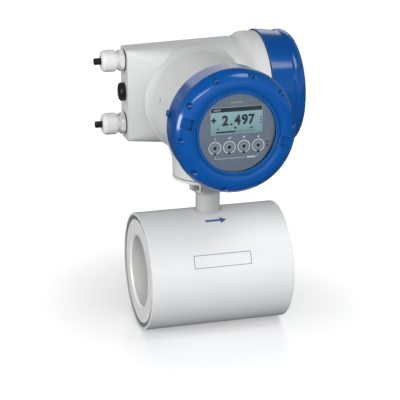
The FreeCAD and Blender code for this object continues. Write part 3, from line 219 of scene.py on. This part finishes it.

# the neck's coat is painted darker, a painted shadow of the converter head above it; ripples run round
# it where the weld bead is
BEAD_HEIGHT = 3.2 * MM
BEAD_RIPPLES = 46
neck_coat_painted_shadow = painted("neck_coat_painted_shadow", (0.36, 0.365, 0.37), STEEL_COAT_RIM, roughness=0.36, mottle=0.06,
                    peel_size=900.0, peel_height=0.25 * MM)
nodes, links = neck_coat_painted_shadow.node_tree.nodes, neck_coat_painted_shadow.node_tree.links
where = add_node(nodes, "TexCoord")
around = add_node(nodes, "TexGradient")
around.gradient_type = "RADIAL"
turns = add_math(nodes, "MULTIPLY", {1: BEAD_RIPPLES * 2 * math.pi})
ripple = add_math(nodes, "SINE")
level = add_node(nodes, "SeparateXYZ")
in_bead = add_math(nodes, "LESS_THAN", {1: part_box("sensor_shell")[1].z + BEAD_HEIGHT})
bead_ripple = add_math(nodes, "MULTIPLY")
links.new(where.outputs["Object"], around.inputs["Vector"])
links.new(around.outputs["Fac"], turns.inputs[0])
links.new(turns.outputs[0], ripple.inputs[0])
links.new(where.outputs["Object"], level.inputs["Vector"])
links.new(level.outputs["Z"], in_bead.inputs[0])
links.new(ripple.outputs[0], bead_ripple.inputs[0])
links.new(in_bead.outputs[0], bead_ripple.inputs[1])
links.new(bead_ripple.outputs[0], nodes["Bump"].inputs["Height"])
dress(neck_coat_painted_shadow, "neck_pipe")


# ---------------------------------------------------------------------------
# Flow arrow and the field below it: screen-printed on the shell in dark
# blue. The field is only a plain outline, and nothing is written in it.
# ---------------------------------------------------------------------------
def finished_piece(name, bm, finish, body):
    """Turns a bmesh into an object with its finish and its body."""
    bmesh.ops.remove_doubles(bm, verts=bm.verts, dist=1e-7)
    bmesh.ops.recalc_face_normals(bm, faces=bm.faces)
    mesh = bpy.data.meshes.new(name)
    bm.to_mesh(mesh)
    bm.free()
    mesh.materials.append(finish)
    piece = bpy.data.objects.new(name, mesh)
    bpy.context.scene.collection.objects.link(piece)
    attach(piece, body)


def flat_outline(bm, points):
    """One flat face through (across, up) points."""
    bm.faces.new([bm.verts.new((across, up, 0)) for across, up in points])


def bar(left, bottom, right, top):
    """The corners of an upright bar."""
    return [(left, bottom), (right, bottom), (right, top), (left, top)]


def moulded(name, colour, roughness, grain=1100.0, skin_height=0.04 * MM):
    """Plastic, rubber or ink: a faintly mottled colour and an uneven gloss over a fine grain."""
    finish, nodes, links, shader = new_finish(name, roughness)
    skin = place_group(nodes, coat_skin, Colour=(*colour, 1), Mottle=0.10, Gloss=roughness,
                       Unevenness=0.12, Peel_size=grain)
    links.new(skin.outputs["Colour"], shader.inputs["Base Color"])
    wear_skin(nodes, links, shader, skin, strength=0.35, depth=skin_height)
    return finish


def ink(name, colour, roughness):
    """A screen-printing ink: finer and flatter than a moulding."""
    return moulded(name, colour, roughness, grain=2400.0, skin_height=0.01 * MM)


def raised_verts(bm):
    """Doubles all faces of a bmesh, joined by walls, and gives the new points."""
    raised = bmesh.ops.extrude_face_region(bm, geom=bm.faces[:])
    return [item for item in raised["geom"] if isinstance(item, bmesh.types.BMVert)]


INK_LIFT = 0.02 * MM           # from the shell's coat to the underside of the print
INK = 0.06 * MM                # thickness of the print
WRAP_STEP = 1.5 * MM           # between the cuts that let the print bend round the shell
shell_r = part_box("sensor_shell")[1].z
blue_ink = ink("blue_ink", (0.035, 0.10, 0.24), 0.45)


def print_on_shell(name, outlines, angle):
    """Outlines of (along the bore, round the shell), wrapped on the shell at an angle from the top."""
    bm = bmesh.new()
    for points in outlines:
        flat_outline(bm, points)
    cuts = int(max(abs(vert.co.y) for vert in bm.verts) / WRAP_STEP)
    for i in range(-cuts, cuts + 1):
        bmesh.ops.bisect_plane(bm, geom=bm.verts[:] + bm.edges[:] + bm.faces[:],
                               plane_co=(0, i * WRAP_STEP, 0), plane_no=(0, 1, 0))
    for vert in bm.verts:
        turn = angle - vert.co.y / shell_r
        vert.co = Vector((vert.co.x, -shell_r * math.sin(turn), shell_r * math.cos(turn)))
    lift = raised_verts(bm)
    base = [vert for vert in bm.verts if vert not in set(lift)]
    for side, height in ((base, INK_LIFT), (lift, INK_LIFT + INK)):
        grown = 1 + height / shell_r
        bmesh.ops.scale(bm, verts=side, vec=(1, grown, grown))
    finished_piece(name, bm, blue_ink, "meter_body")


ARROW_ANGLE = math.radians(23.2)
ARROW = [(-10.2, -1.6), (7.0, -1.6), (6.4, -5.2), (14.1, 0.0), (6.4, 5.2), (7.0, 1.6), (-10.2, 1.6)]
print_on_shell("flow_arrow", [[(x * MM, s * MM) for x, s in ARROW]], ARROW_ANGLE)

FIELD_ANGLE = math.radians(66.4)
left, right = -33.0 * MM, 32.5 * MM
half = 7.3 * MM                # half the height of the field
line = 0.6 * MM                # width of its outline
print_on_shell("bare_field_outline",
               [bar(left, half - line, right, half), bar(left, -half, right, line - half),
                bar(left, line - half, left + line, half - line),
                bar(right - line, line - half, right, half - line)], FIELD_ANGLE)


# ---------------------------------------------------------------------------
# Measuring tube: fired white ceramic, ground at its end faces and in the
# bore. Rubber seals it in the rim of the shell; their mid-grey is painted
# light that stands in for the lit inner rim of the shell. The other seals
# and gaskets are black rubber.
# ---------------------------------------------------------------------------
CERAMIC_GLOSS = 0.36
ceramic, nodes, links, shader = new_finish("white_ceramic", CERAMIC_GLOSS)
skin = place_group(nodes, coat_skin, Colour=(0.82, 0.82, 0.815, 1), Mottle=0.05, Gloss=CERAMIC_GLOSS,
                   Unevenness=0.1, Peel_size=420.0)
links.new(skin.outputs["Colour"], shader.inputs["Base Color"])
wear_skin(nodes, links, shader, skin, strength=0.15, depth=0.03 * MM)
shader.inputs["Coat Weight"].default_value = 0.25
shader.inputs["Coat Roughness"].default_value = 0.2
dress(ceramic, "measuring_tube")

RUBBER_GRAIN = 1500.0
# the end seals are painted mid-grey, lighter than their rubber: painted light for the lit inner rim of
# the shell
dress(moulded("end_seal_rubber_painted_light", (0.17, 0.17, 0.175), 0.6, RUBBER_GRAIN),
      "inlet_end_seal", "outlet_end_seal")
dress(moulded("seal_rubber", (0.022, 0.022, 0.024), 0.6, RUBBER_GRAIN),
      "base_gasket", "blind_plug_washer", "front_cover_oring", "terminal_cover_oring", "window_seal",
      "upper_gland_washer", "lower_gland_washer", "upper_gland_insert", "lower_gland_insert")


# ---------------------------------------------------------------------------
# Stainless steel, magnet iron and copper: turned or drawn bare metal with
# fine tool marks that break up the gloss, and taped windings.
# ---------------------------------------------------------------------------
BURNISH = 1.35                 # how much paler the handled edges are


def bare_metal(name, colour, roughness, marks, metallic=1.0):
    """Bare metal with tool marks, and edges that handling has polished."""
    finish, nodes, links, shader = new_finish(name, roughness)
    shader.inputs["Metallic"].default_value = metallic
    skin = place_group(nodes, coat_skin, Colour=(*colour, 1), Mottle=0.18, Gloss=roughness,
                       Unevenness=0.25, Peel_size=marks)
    edge_colour = [min(1.0, share * BURNISH) for share in colour]
    links.new(edged_colour(nodes, links, skin, edge_colour), shader.inputs["Base Color"])
    wear_skin(nodes, links, shader, skin, strength=0.4, depth=0.02 * MM)
    return finish


dress(bare_metal("turned_steel", (0.66, 0.66, 0.65), 0.32, marks=1400.0, metallic=0.8),
      "inlet_end_ring", "outlet_end_ring", "front_electrode", "rear_electrode", "electrode_nuts",
      "union_ring", "base_screws", "base_washers", "display_screws", "terminal_screws", "flap_pin",
      "earth_clamp", "earth_screw")
dress(bare_metal("magnet_iron", (0.24, 0.24, 0.25), 0.5, marks=900.0),
      "magnet_yoke", "upper_pole_shoe", "lower_pole_shoe")

copper, nodes, links, shader = new_finish("taped_copper", 0.45)
where = add_node(nodes, "TexCoord")
winding = add_node(nodes, "TexWave", Scale=420.0, Distortion=0.6)
winding.bands_direction = "Z"
tone = add_node(nodes, "ValToRGB")
tone.color_ramp.elements[0].color = (0.20, 0.07, 0.025, 1)
tone.color_ramp.elements[1].color = (0.62, 0.27, 0.10, 1)
bump = add_node(nodes, "Bump", Distance=0.1 * MM)
links.new(where.outputs["Object"], winding.inputs["Vector"])
links.new(winding.outputs["Fac"], tone.inputs["Fac"])
links.new(tone.outputs["Color"], shader.inputs["Base Color"])
links.new(winding.outputs["Fac"], bump.inputs["Height"])
links.new(bump.outputs["Normal"], shader.inputs["Normal"])
dress(copper, "upper_field_coil", "lower_field_coil")


# ---------------------------------------------------------------------------
# Converter housing and its base plate: one aluminium die casting and one
# turned plate, in a light-grey powder coat that is coarser than the
# sensor's coat. The screw threads of its two necks are cut bare.
# ---------------------------------------------------------------------------
dress(painted("casting_coat", (0.60, 0.61, 0.605), (0.50, 0.51, 0.505), roughness=0.42, mottle=0.07,
              peel_size=620.0, peel_height=0.07 * MM), "converter_housing", "base_plate")

cut_aluminium = bare_metal("cut_aluminium", (0.62, 0.62, 0.63), 0.28, marks=1800.0)
THREAD_PITCH = 2.0 * MM
THREAD_TURNS = 4
THREAD_STEPS = 72              # per turn
THREAD_ROOM = 1.2 * MM         # left bare between the last turn and the mouth
ORING_TO_THREAD = 2.4 * MM     # an O-ring's outside is this much larger in radius than the neck
ROOT_SUNK = 0.05 * MM          # how far the ridge's foot lies in the neck
CREST_RISE = 0.2 * MM


def neck_thread(name, oring, mouth, axis):
    """A helical ridge on a threaded neck, which winds out along the axis and ends near the mouth."""
    low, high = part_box(oring)
    neck_r = (high - low).z / 2 - ORING_TO_THREAD
    root, crest = neck_r - ROOT_SUNK, neck_r + CREST_RISE
    centre = (low + high) / 2
    start = Vector((mouth, centre.y, centre.z)) if axis.x else Vector((centre.x, mouth, centre.z))
    start = start - axis * (THREAD_PITCH * (THREAD_TURNS + 1) + THREAD_ROOM)
    bm = bmesh.new()
    ridge = []
    for along, radius in ((0.1, root), (0.45, crest), (0.55, crest), (0.9, root)):
        ridge.append(bm.verts.new(start + axis * (along * THREAD_PITCH) + Vector((0, 0, radius))))
    face = bm.faces.new(ridge)
    bmesh.ops.spin(bm, geom=[face] + face.edges[:] + ridge, cent=start, axis=axis,
                   dvec=axis * (THREAD_PITCH / THREAD_STEPS), angle=2 * math.pi * THREAD_TURNS,
                   steps=THREAD_STEPS * THREAD_TURNS, use_merge=False, use_duplicate=False)
    finished_piece(name, bm, cut_aluminium, "meter_body")


housing_low, housing_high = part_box("converter_housing")
neck_thread("display_neck_thread", "front_cover_oring", housing_low.y, Vector((0, -1, 0)))
neck_thread("terminal_neck_thread", "terminal_cover_oring", housing_high.x, Vector((1, 0, 0)))


# ---------------------------------------------------------------------------
# Front cover and terminal cover: turned castings in a glossy deep blue coat
# under a clear lacquer. Both screw onto the housing's necks.
# ---------------------------------------------------------------------------
# the covers' slots and dimples get deep painted shade from a low cavity floor
dress(painted("cover_coat", (0.0008, 0.066, 0.28), (0.014, 0.17, 0.48), roughness=0.34, mottle=0.10,
              peel_size=560.0, peel_height=0.05 * MM, lacquer=1.0, sheen=0.05, cavity_floor=0.18),
      "front_cover", "terminal_cover")


# ---------------------------------------------------------------------------
# Cable glands, blind plug and inner mouldings: white, black, green and
# yellow plastics with a spark-eroded skin and a soft sheen.
# ---------------------------------------------------------------------------
dress(moulded("black_moulding", (0.004, 0.004, 0.0045), 0.42),
      "electronics_cassette", "bay_feedthrough", "terminal_carrier", "sensor_lead", "blind_plug",
      "upper_gland_blanking_pin", "lower_gland_blanking_pin")
dress(moulded("display_moulding", (0.05, 0.055, 0.065), 0.45), "display_module", "glass_retainer")
dress(moulded("green_terminals", (0.03, 0.20, 0.07), 0.42),
      "signal_terminal_block", "power_terminal_block")
dress(moulded("yellow_flap", (0.72, 0.52, 0.04), 0.4), "safety_flap")
dress(moulded("gland_white", (0.66, 0.66, 0.655), 0.38), "upper_gland_body", "lower_gland_body",
      "upper_gland_ring", "lower_gland_ring", "upper_gland_nut", "lower_gland_nut")


# ---------------------------------------------------------------------------
# Faceplate: a grey-blue printed front with four infrared keys. Each key has
# a white ring that is open below, a grey ring inside it, and its sign above.
# ---------------------------------------------------------------------------
dress(moulded("faceplate_print", (0.145, 0.185, 0.255), 0.40), "display_faceplate")
dress(moulded("key_window", (0.006, 0.006, 0.008), 0.15), "optical_key_lenses")
white_ink = ink("white_ink", (0.66, 0.70, 0.72), 0.5)
grey_ink = ink("grey_ink", (0.30, 0.34, 0.38), 0.5)
dark_ink = ink("dark_ink", (0.004, 0.005, 0.008), 0.4)

key_low, key_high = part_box("optical_key_lenses")
key_r = (key_high.z - key_low.z) / 2
key_pitch = (key_high.x - key_low.x - 2 * key_r) / 3
key_z = (key_low.z + key_high.z) / 2
keys_x = [key_low.x + key_r + key_pitch * i for i in range(4)]

PRINT_LIFT = 0.01 * MM
print_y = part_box("display_faceplate")[0].y - PRINT_LIFT


def stand_up(bm, front_y, thickness):
    """Turns flat outlines to face -Y in front of a plane, and gives them a thickness."""
    bmesh.ops.transform(bm, matrix=Matrix.Rotation(math.radians(90), 4, "X"), verts=bm.verts)
    bmesh.ops.translate(bm, verts=bm.verts, vec=(0, front_y, 0))
    bmesh.ops.translate(bm, verts=raised_verts(bm), vec=(0, -thickness, 0))


def open_ring(bm, centre_x, centre_z, inner, outer, opening=0):
    """A flat ring, closed or with a gap of some degrees at its foot."""
    lip = [bm.verts.new((centre_x, centre_z - radius, 0)) for radius in (inner, outer)]
    edge = bm.edges.new(lip)
    bmesh.ops.rotate(bm, verts=lip, cent=(centre_x, centre_z, 0),
                     matrix=Matrix.Rotation(math.radians(opening / 2), 3, "Z"))
    bmesh.ops.spin(bm, geom=[edge] + lip, cent=(centre_x, centre_z, 0), axis=(0, 0, 1),
                   angle=math.radians(360 - opening), steps=40, use_merge=opening == 0,
                   use_duplicate=False)


def disc(bm, centre_x, centre_z, radius):
    """A flat filled disc."""
    bmesh.ops.create_circle(bm, cap_ends=True, segments=20, radius=radius,
                            matrix=Matrix.Translation((centre_x, centre_z, 0)))


RING_OUTER = 6.9 * MM
RING_LINE = 1.1 * MM
RING_GAP = 34                  # degrees
SIGN_LIFT = 9.8 * MM           # from a key's centre to its sign
KEY_SIGNS = (                  # right, enter, down and up, in millimetres from a sign's centre
    ((-1.5, 1.5), (-0.95, 1.5), (1.5, 0), (-0.95, -1.5), (-1.5, -1.5), (0.62, 0)),
    ((-1.5, 0), (0, 1.5), (0, 0.275), (1.5, 0.275), (1.5, 1.5), (2.05, 1.5), (2.05, -0.275),
     (0, -0.275), (0, -1.5)),
    ((-1.5, 1.2), (0, -1.5), (1.5, 1.2)),
    ((-1.5, -1.2), (1.5, -1.2), (0, 1.5)))
bm = bmesh.new()
for x in keys_x:
    open_ring(bm, x, key_z, RING_OUTER - RING_LINE, RING_OUTER, RING_GAP)
for x, points in zip(keys_x, KEY_SIGNS):
    flat_outline(bm, [(x + across * MM, key_z + SIGN_LIFT + up * MM) for across, up in points])

# a thin line runs under the keys from the first to the last, with a bar before its right end
RAIL_DROP = 12.2 * MM          # from a key's centre to the line
RAIL_RISE = 3.4 * MM           # height of the line's turned-up ends
RAIL = 0.45 * MM               # width of the line
BAR_DROP, BAR_RISE = 0.6 * MM, 1.2 * MM
BEFORE_BAR, AFTER_BAR = 1.0 * MM, 1.4 * MM
rail_z = key_z - RAIL_DROP
line_end = keys_x[2] + 2.4 * MM
bar_left, bar_right = line_end + BEFORE_BAR, keys_x[3] - 3.0 * MM
for outline in (bar(keys_x[0], rail_z, line_end, rail_z + RAIL),
                bar(keys_x[0], rail_z + RAIL, keys_x[0] + RAIL, rail_z + RAIL_RISE),
                bar(bar_left, rail_z - BAR_DROP, bar_right, rail_z + BAR_RISE),
                bar(bar_right + AFTER_BAR, rail_z, keys_x[3], rail_z + RAIL),
                bar(keys_x[3] - RAIL, rail_z + RAIL, keys_x[3], rail_z + RAIL_RISE)):
    flat_outline(bm, outline)
stand_up(bm, print_y, INK)
finished_piece("key_rings_and_signs", bm, white_ink, "meter_body")

bm = bmesh.new()
for x in keys_x:
    open_ring(bm, x, key_z, inner=2.6 * MM, outer=4.0 * MM)
stand_up(bm, print_y, INK)
finished_piece("key_inner_rings", bm, grey_ink, "meter_body")

FOOT_R, FOOT_DROP = 1.25 * MM, RING_OUTER - 0.2 * MM
LAMP_R, LAMP_X, LAMP_RISES = 1.1 * MM, 33.6 * MM, (3.1 * MM, -0.8 * MM)
bm = bmesh.new()
for x in keys_x:
    disc(bm, x, key_z - FOOT_DROP, FOOT_R)
for rise in LAMP_RISES:
    disc(bm, LAMP_X, key_z + rise, LAMP_R)
stand_up(bm, print_y, INK)
finished_piece("key_feet_and_lamps", bm, dark_ink, "meter_body")

# a bare bar stands over the screen; its heights are from the bore's centre
BAR_HALF, BAR_LOW, BAR_HIGH = 6.4 * MM, 215.4 * MM, 216.9 * MM
bm = bmesh.new()
flat_outline(bm, bar(-BAR_HALF, BAR_LOW, BAR_HALF, BAR_HIGH))
stand_up(bm, print_y, INK)
finished_piece("bare_field_bar", bm, grey_ink, "meter_body")


# ---------------------------------------------------------------------------
# Screen: a lit liquid-crystal panel behind the faceplate. Its dark segments
# give a reading, a bar scale and a heading strip.
# ---------------------------------------------------------------------------
DOT, DOT_GAP = 0.45 * MM, 0.03 * MM
lcd_low, lcd_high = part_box("lcd_panel")
screen, nodes, links, shader = new_finish("lit_screen", 0.22)
where = add_node(nodes, "TexCoord")
upright = add_node(nodes, "Mapping", Rotation=(math.radians(-90), 0, 0))
grid = add_node(nodes, "TexBrick", Scale=1.0, Brick_Width=DOT, Row_Height=DOT, Mortar_Size=DOT_GAP,
                Color1=(0.235, 0.37, 0.405, 1), Color2=(0.245, 0.38, 0.415, 1),
                Mortar=(0.215, 0.345, 0.38, 1))
grid.offset = 0.0
level = add_node(nodes, "SeparateXYZ")
falling = add_node(nodes, "MapRange", From_Min=lcd_low.z, From_Max=lcd_high.z, To_Min=0.78,
                   To_Max=1.12)
shaded = add_node(nodes, "VectorMath", "SCALE")
links.new(where.outputs["Object"], upright.inputs["Vector"])
links.new(upright.outputs["Vector"], grid.inputs["Vector"])
links.new(where.outputs["Object"], level.inputs["Vector"])
links.new(level.outputs["Z"], falling.inputs["Value"])
links.new(grid.outputs["Color"], shaded.inputs[0])
links.new(falling.outputs["Result"], shaded.inputs["Scale"])
links.new(shaded.outputs[0], shader.inputs["Base Color"])
links.new(shaded.outputs[0], shader.inputs["Emission Color"])
shader.inputs["Emission Strength"].default_value = 0.35
dress(screen, "lcd_panel")


def from_corner(points):
    """Points given in millimetres from the screen's lower left corner."""
    return [(lcd_low.x + across * MM, lcd_low.z + up * MM) for across, up in points]


SEGMENT = 0.03 * MM            # thickness of the dark segments
width, height = (lcd_high.x - lcd_low.x) / MM, (lcd_high.z - lcd_low.z) / MM
heading_strip = (0.5, 24.0, width - 0.5, height - 0.4)
plus_sign = ((0.6, 14.7, 6.2, 16.6), (2.5, 12.8, 4.3, 18.5))
decimal_point = (21.6, 9.4, 23.8, 11.6)
bar_scale = ((5.7, 1.7, 26.8, 3.5), (26.8, 1.7, 47.8, 2.0), (47.5, 2.0, 47.8, 3.5),
             (26.8, 3.2, 47.5, 3.5))
scale_ends = ((7.0, 5.2, 9.0, 6.6), (42.8, 5.2, 46.2, 6.6))
unit_marks = ((54.0, 15.6, 55.4, 17.2), (54.0, 12.6, 55.4, 14.2), (54.0, 9.6, 55.4, 11.2))
pointer = ((25.2, 7.6), (26.8, 4.6), (28.4, 7.6))
heading_words = (3.0, 25.6, 11.0, 27.0)
bm = bmesh.new()
for corners in (heading_strip, *plus_sign, decimal_point, *bar_scale, *scale_ends, *unit_marks):
    flat_outline(bm, from_corner(bar(*corners)))
flat_outline(bm, from_corner(pointer))
stand_up(bm, lcd_low.y - PRINT_LIFT, SEGMENT)
finished_piece("screen_marks", bm, dark_ink, "meter_body")

bm = bmesh.new()
flat_outline(bm, from_corner(bar(*heading_words)))
stand_up(bm, lcd_low.y - PRINT_LIFT - SEGMENT, SEGMENT)
finished_piece("screen_heading", bm, grey_ink, "meter_body")

FIGURE_LOW, FIGURE_HIGH = 9.4, 20.4
STROKE_SWELL = 0.04            # how much bolder than the plain font, in the font's own units


def figure(character, left, right):
    """One figure of the reading, fitted between millimetre marks on the screen."""
    letters = bpy.data.curves.new("figure", "FONT")
    letters.body = character
    letters.offset = STROKE_SWELL
    holder = bpy.data.objects.new("figure", letters)
    bpy.context.scene.collection.objects.link(holder)
    bpy.context.view_layer.update()
    solid = holder.evaluated_get(bpy.context.evaluated_depsgraph_get())
    bm = bmesh.new()
    bm.from_mesh(bpy.data.meshes.new_from_object(solid))
    bpy.data.objects.remove(holder)
    bmesh.ops.remove_doubles(bm, verts=bm.verts, dist=1e-6)
    lows = [min(vert.co[i] for vert in bm.verts) for i in (0, 1)]
    highs = [max(vert.co[i] for vert in bm.verts) for i in (0, 1)]
    stretch = (MM * (right - left) / (highs[0] - lows[0]),
               MM * (FIGURE_HIGH - FIGURE_LOW) / (highs[1] - lows[1]), 1)
    bmesh.ops.translate(bm, verts=bm.verts, vec=(-lows[0], -lows[1], 0))
    bmesh.ops.scale(bm, verts=bm.verts, vec=stretch)
    bmesh.ops.translate(bm, verts=bm.verts,
                        vec=(lcd_low.x + left * MM, lcd_low.z + FIGURE_LOW * MM, 0))
    stand_up(bm, lcd_low.y - PRINT_LIFT, SEGMENT)
    return bm


reading = (("2", 12.4, 19.4), ("4", 25.8, 32.8), ("9", 33.8, 40.6), ("7", 41.4, 48.2))
for number, (character, left, right) in enumerate(reading, 1):
    finished_piece("reading_figure_%d" % number, figure(character, left, right), dark_ink,
                   "meter_body")


# ---------------------------------------------------------------------------
# Window: clear flat glass that is cemented behind the front cover's lip,
# with faint wipe marks in its gloss.
# ---------------------------------------------------------------------------
glass, nodes, links, shader = new_finish("window_glass", 0.02)
shader.inputs["Base Color"].default_value = (0.96, 0.98, 0.985, 1)
shader.inputs["Transmission Weight"].default_value = 1.0
shader.inputs["IOR"].default_value = 1.45
where = add_node(nodes, "TexCoord")
smear = add_node(nodes, "TexNoise", Scale=60.0)
wiped = add_node(nodes, "MapRange", To_Min=0.005, To_Max=0.05)
links.new(where.outputs["Object"], smear.inputs["Vector"])
links.new(smear.outputs["Fac"], wiped.inputs["Value"])
links.new(wiped.outputs["Result"], shader.inputs["Roughness"])
dress(glass, "window_glass")


# ---------------------------------------------------------------------------
# Studio floor: a plain pale floor under the sensor. For the camera it glows
# to white a little way out and glows less round the foot, a painted soft
# shadow there. It hardly lights the part from below.
# ---------------------------------------------------------------------------
FLOOR_HALF = 30.0
FLOOR_SEEN = (0.80, 0.80, 0.81, 1)
FLOOR_BOUNCE = (0.11, 0.11, 0.115, 1)
bm = bmesh.new()
bmesh.ops.create_grid(bm, x_segments=1, y_segments=1, size=FLOOR_HALF)
bmesh.ops.translate(bm, verts=bm.verts, vec=(0, 0, cad_box[0].z))
floor_mesh = bpy.data.meshes.new("studio_floor")
bm.to_mesh(floor_mesh)
bm.free()
floor = bpy.data.objects.new("studio_floor", floor_mesh)
bpy.context.scene.collection.objects.link(floor)
floor_finish, nodes, links, shader = new_finish("studio_floor", 0.30)
seen = add_node(nodes, "LightPath")
tone = add_node(nodes, "Mix")
tone.data_type = "RGBA"
tone.inputs["A"].default_value = FLOOR_BOUNCE
tone.inputs["B"].default_value = FLOOR_SEEN
where = add_node(nodes, "TexCoord")
distance = add_node(nodes, "VectorMath", "LENGTH")
# camera-only glow that is weaker near the foot: a painted shadow round the sensor, white further out
sweep = add_node(nodes, "MapRange", From_Min=0.10, From_Max=0.40, To_Min=0.30, To_Max=0.75)
sweep.interpolation_type = "SMOOTHSTEP"
glow = add_math(nodes, "MULTIPLY")
links.new(seen.outputs["Is Camera Ray"], tone.inputs["Factor"])
links.new(tone.outputs["Result"], shader.inputs["Base Color"])
links.new(where.outputs["Object"], distance.inputs[0])
links.new(distance.outputs["Value"], sweep.inputs["Value"])
links.new(sweep.outputs["Result"], glow.inputs[0])
links.new(seen.outputs["Is Camera Ray"], glow.inputs[1])
links.new(glow.outputs[0], shader.inputs["Emission Strength"])
links.new(seen.outputs["Is Camera Ray"], shader.inputs["Specular IOR Level"])
shader.inputs["Emission Color"].default_value = (1, 1, 1, 1)
floor_mesh.materials.append(floor_finish)


# ---------------------------------------------------------------------------
# Surround and lights: the surround looks white, but lights the part mostly
# from the horizon, and gloss mirrors it at half strength. Softboxes stand
# in front, on the left, above and behind.
# ---------------------------------------------------------------------------
HORIZON_LIGHT, OVERHEAD_LIGHT = 0.62, 0.11
WHITE = (1, 1, 1, 1)
world = bpy.context.scene.world or bpy.data.worlds.new("studio")
bpy.context.scene.world = world
world.use_nodes = True
nodes, links = world.node_tree.nodes, world.node_tree.links
nodes.clear()
toward = add_node(nodes, "TexCoord")
height_of = add_node(nodes, "SeparateXYZ")
dimming = add_node(nodes, "MapRange", From_Min=0.1, From_Max=0.7, To_Min=HORIZON_LIGHT,
                   To_Max=OVERHEAD_LIGHT)
mirrored = add_node(nodes, "MapRange", To_Min=1.0, To_Max=0.5)
strength = add_math(nodes, "MULTIPLY")
lit = add_node(nodes, "Background", Color=WHITE)
shown = add_node(nodes, "Background", Color=WHITE, Strength=1.05)
ray = add_node(nodes, "LightPath")
both = add_node(nodes, "MixShader")
out = add_node(nodes, "OutputWorld")
links.new(toward.outputs["Generated"], height_of.inputs["Vector"])
links.new(height_of.outputs["Z"], dimming.inputs["Value"])
links.new(ray.outputs["Is Glossy Ray"], mirrored.inputs["Value"])
links.new(dimming.outputs["Result"], strength.inputs[0])
links.new(mirrored.outputs["Result"], strength.inputs[1])
links.new(strength.outputs[0], lit.inputs["Strength"])
links.new(ray.outputs["Is Camera Ray"], both.inputs["Fac"])
links.new(lit.outputs[0], both.inputs[1])
links.new(shown.outputs[0], both.inputs[2])
links.new(both.outputs[0], out.inputs["Surface"])


def softbox(name, place, aim, width, height, watts, mirrored=True):
    """A rectangular lamp that faces a point, and that gloss may mirror or not."""
    lamp = bpy.data.lights.new(name, "AREA")
    lamp.shape = "RECTANGLE"
    lamp.size, lamp.size_y = width, height
    lamp.energy = watts
    holder = bpy.data.objects.new(name, lamp)
    holder.location = place
    holder.visible_glossy = mirrored
    holder.rotation_mode = "QUATERNION"
    holder.rotation_quaternion = (Vector(aim) - Vector(place)).to_track_quat("-Z", "Y")
    bpy.context.scene.collection.objects.link(holder)


softbox("front_light", (0.15, -2.2, 0.50), (0, 0, 0.08), width=1.6, height=0.9, watts=39.0,
        mirrored=False)
softbox("left_light", (-2.3, -0.25, 0.35), (0, 0, 0.05), width=1.2, height=0.8, watts=34.0)
softbox("crest_light", (-0.62, -1.20, 0.90), (0, -0.1, 0.18), width=0.85, height=0.22, watts=4.0)
softbox("top_light", (0.65, -0.75, 1.55), (0.05, 0, 0.15), width=0.7, height=0.7, watts=7.0)
softbox("back_light", (0.3, 1.8, 0.9), (0, 0, 0.1), width=1.8, height=0.7, watts=3.8)
bpy.context.scene.view_settings.view_transform = "Standard"


# ---------------------------------------------------------------------------
# Camera: a long lens that looks slightly down at the meter from its front
# left, so that the bore and the display both show.
# ---------------------------------------------------------------------------
AZIMUTH, ELEVATION, DISTANCE = math.radians(-16.12), math.radians(17.84), 1.7218
TARGET = Vector((-0.00894, 0.0, 0.07776))
camera_data = bpy.data.cameras.new("camera")
camera_data.sensor_width = 36.0
camera_data.lens = 137.76
camera_data.clip_start, camera_data.clip_end = 0.05, 60.0
camera = bpy.data.objects.new("camera", camera_data)
bpy.context.scene.collection.objects.link(camera)
back = Vector((math.sin(AZIMUTH) * math.cos(ELEVATION), -math.cos(AZIMUTH) * math.cos(ELEVATION),
               math.sin(ELEVATION)))
camera.location = TARGET + back * DISTANCE
camera.rotation_mode = "QUATERNION"
camera.rotation_quaternion = (-back).to_track_quat("-Z", "Y")
bpy.context.scene.camera = camera
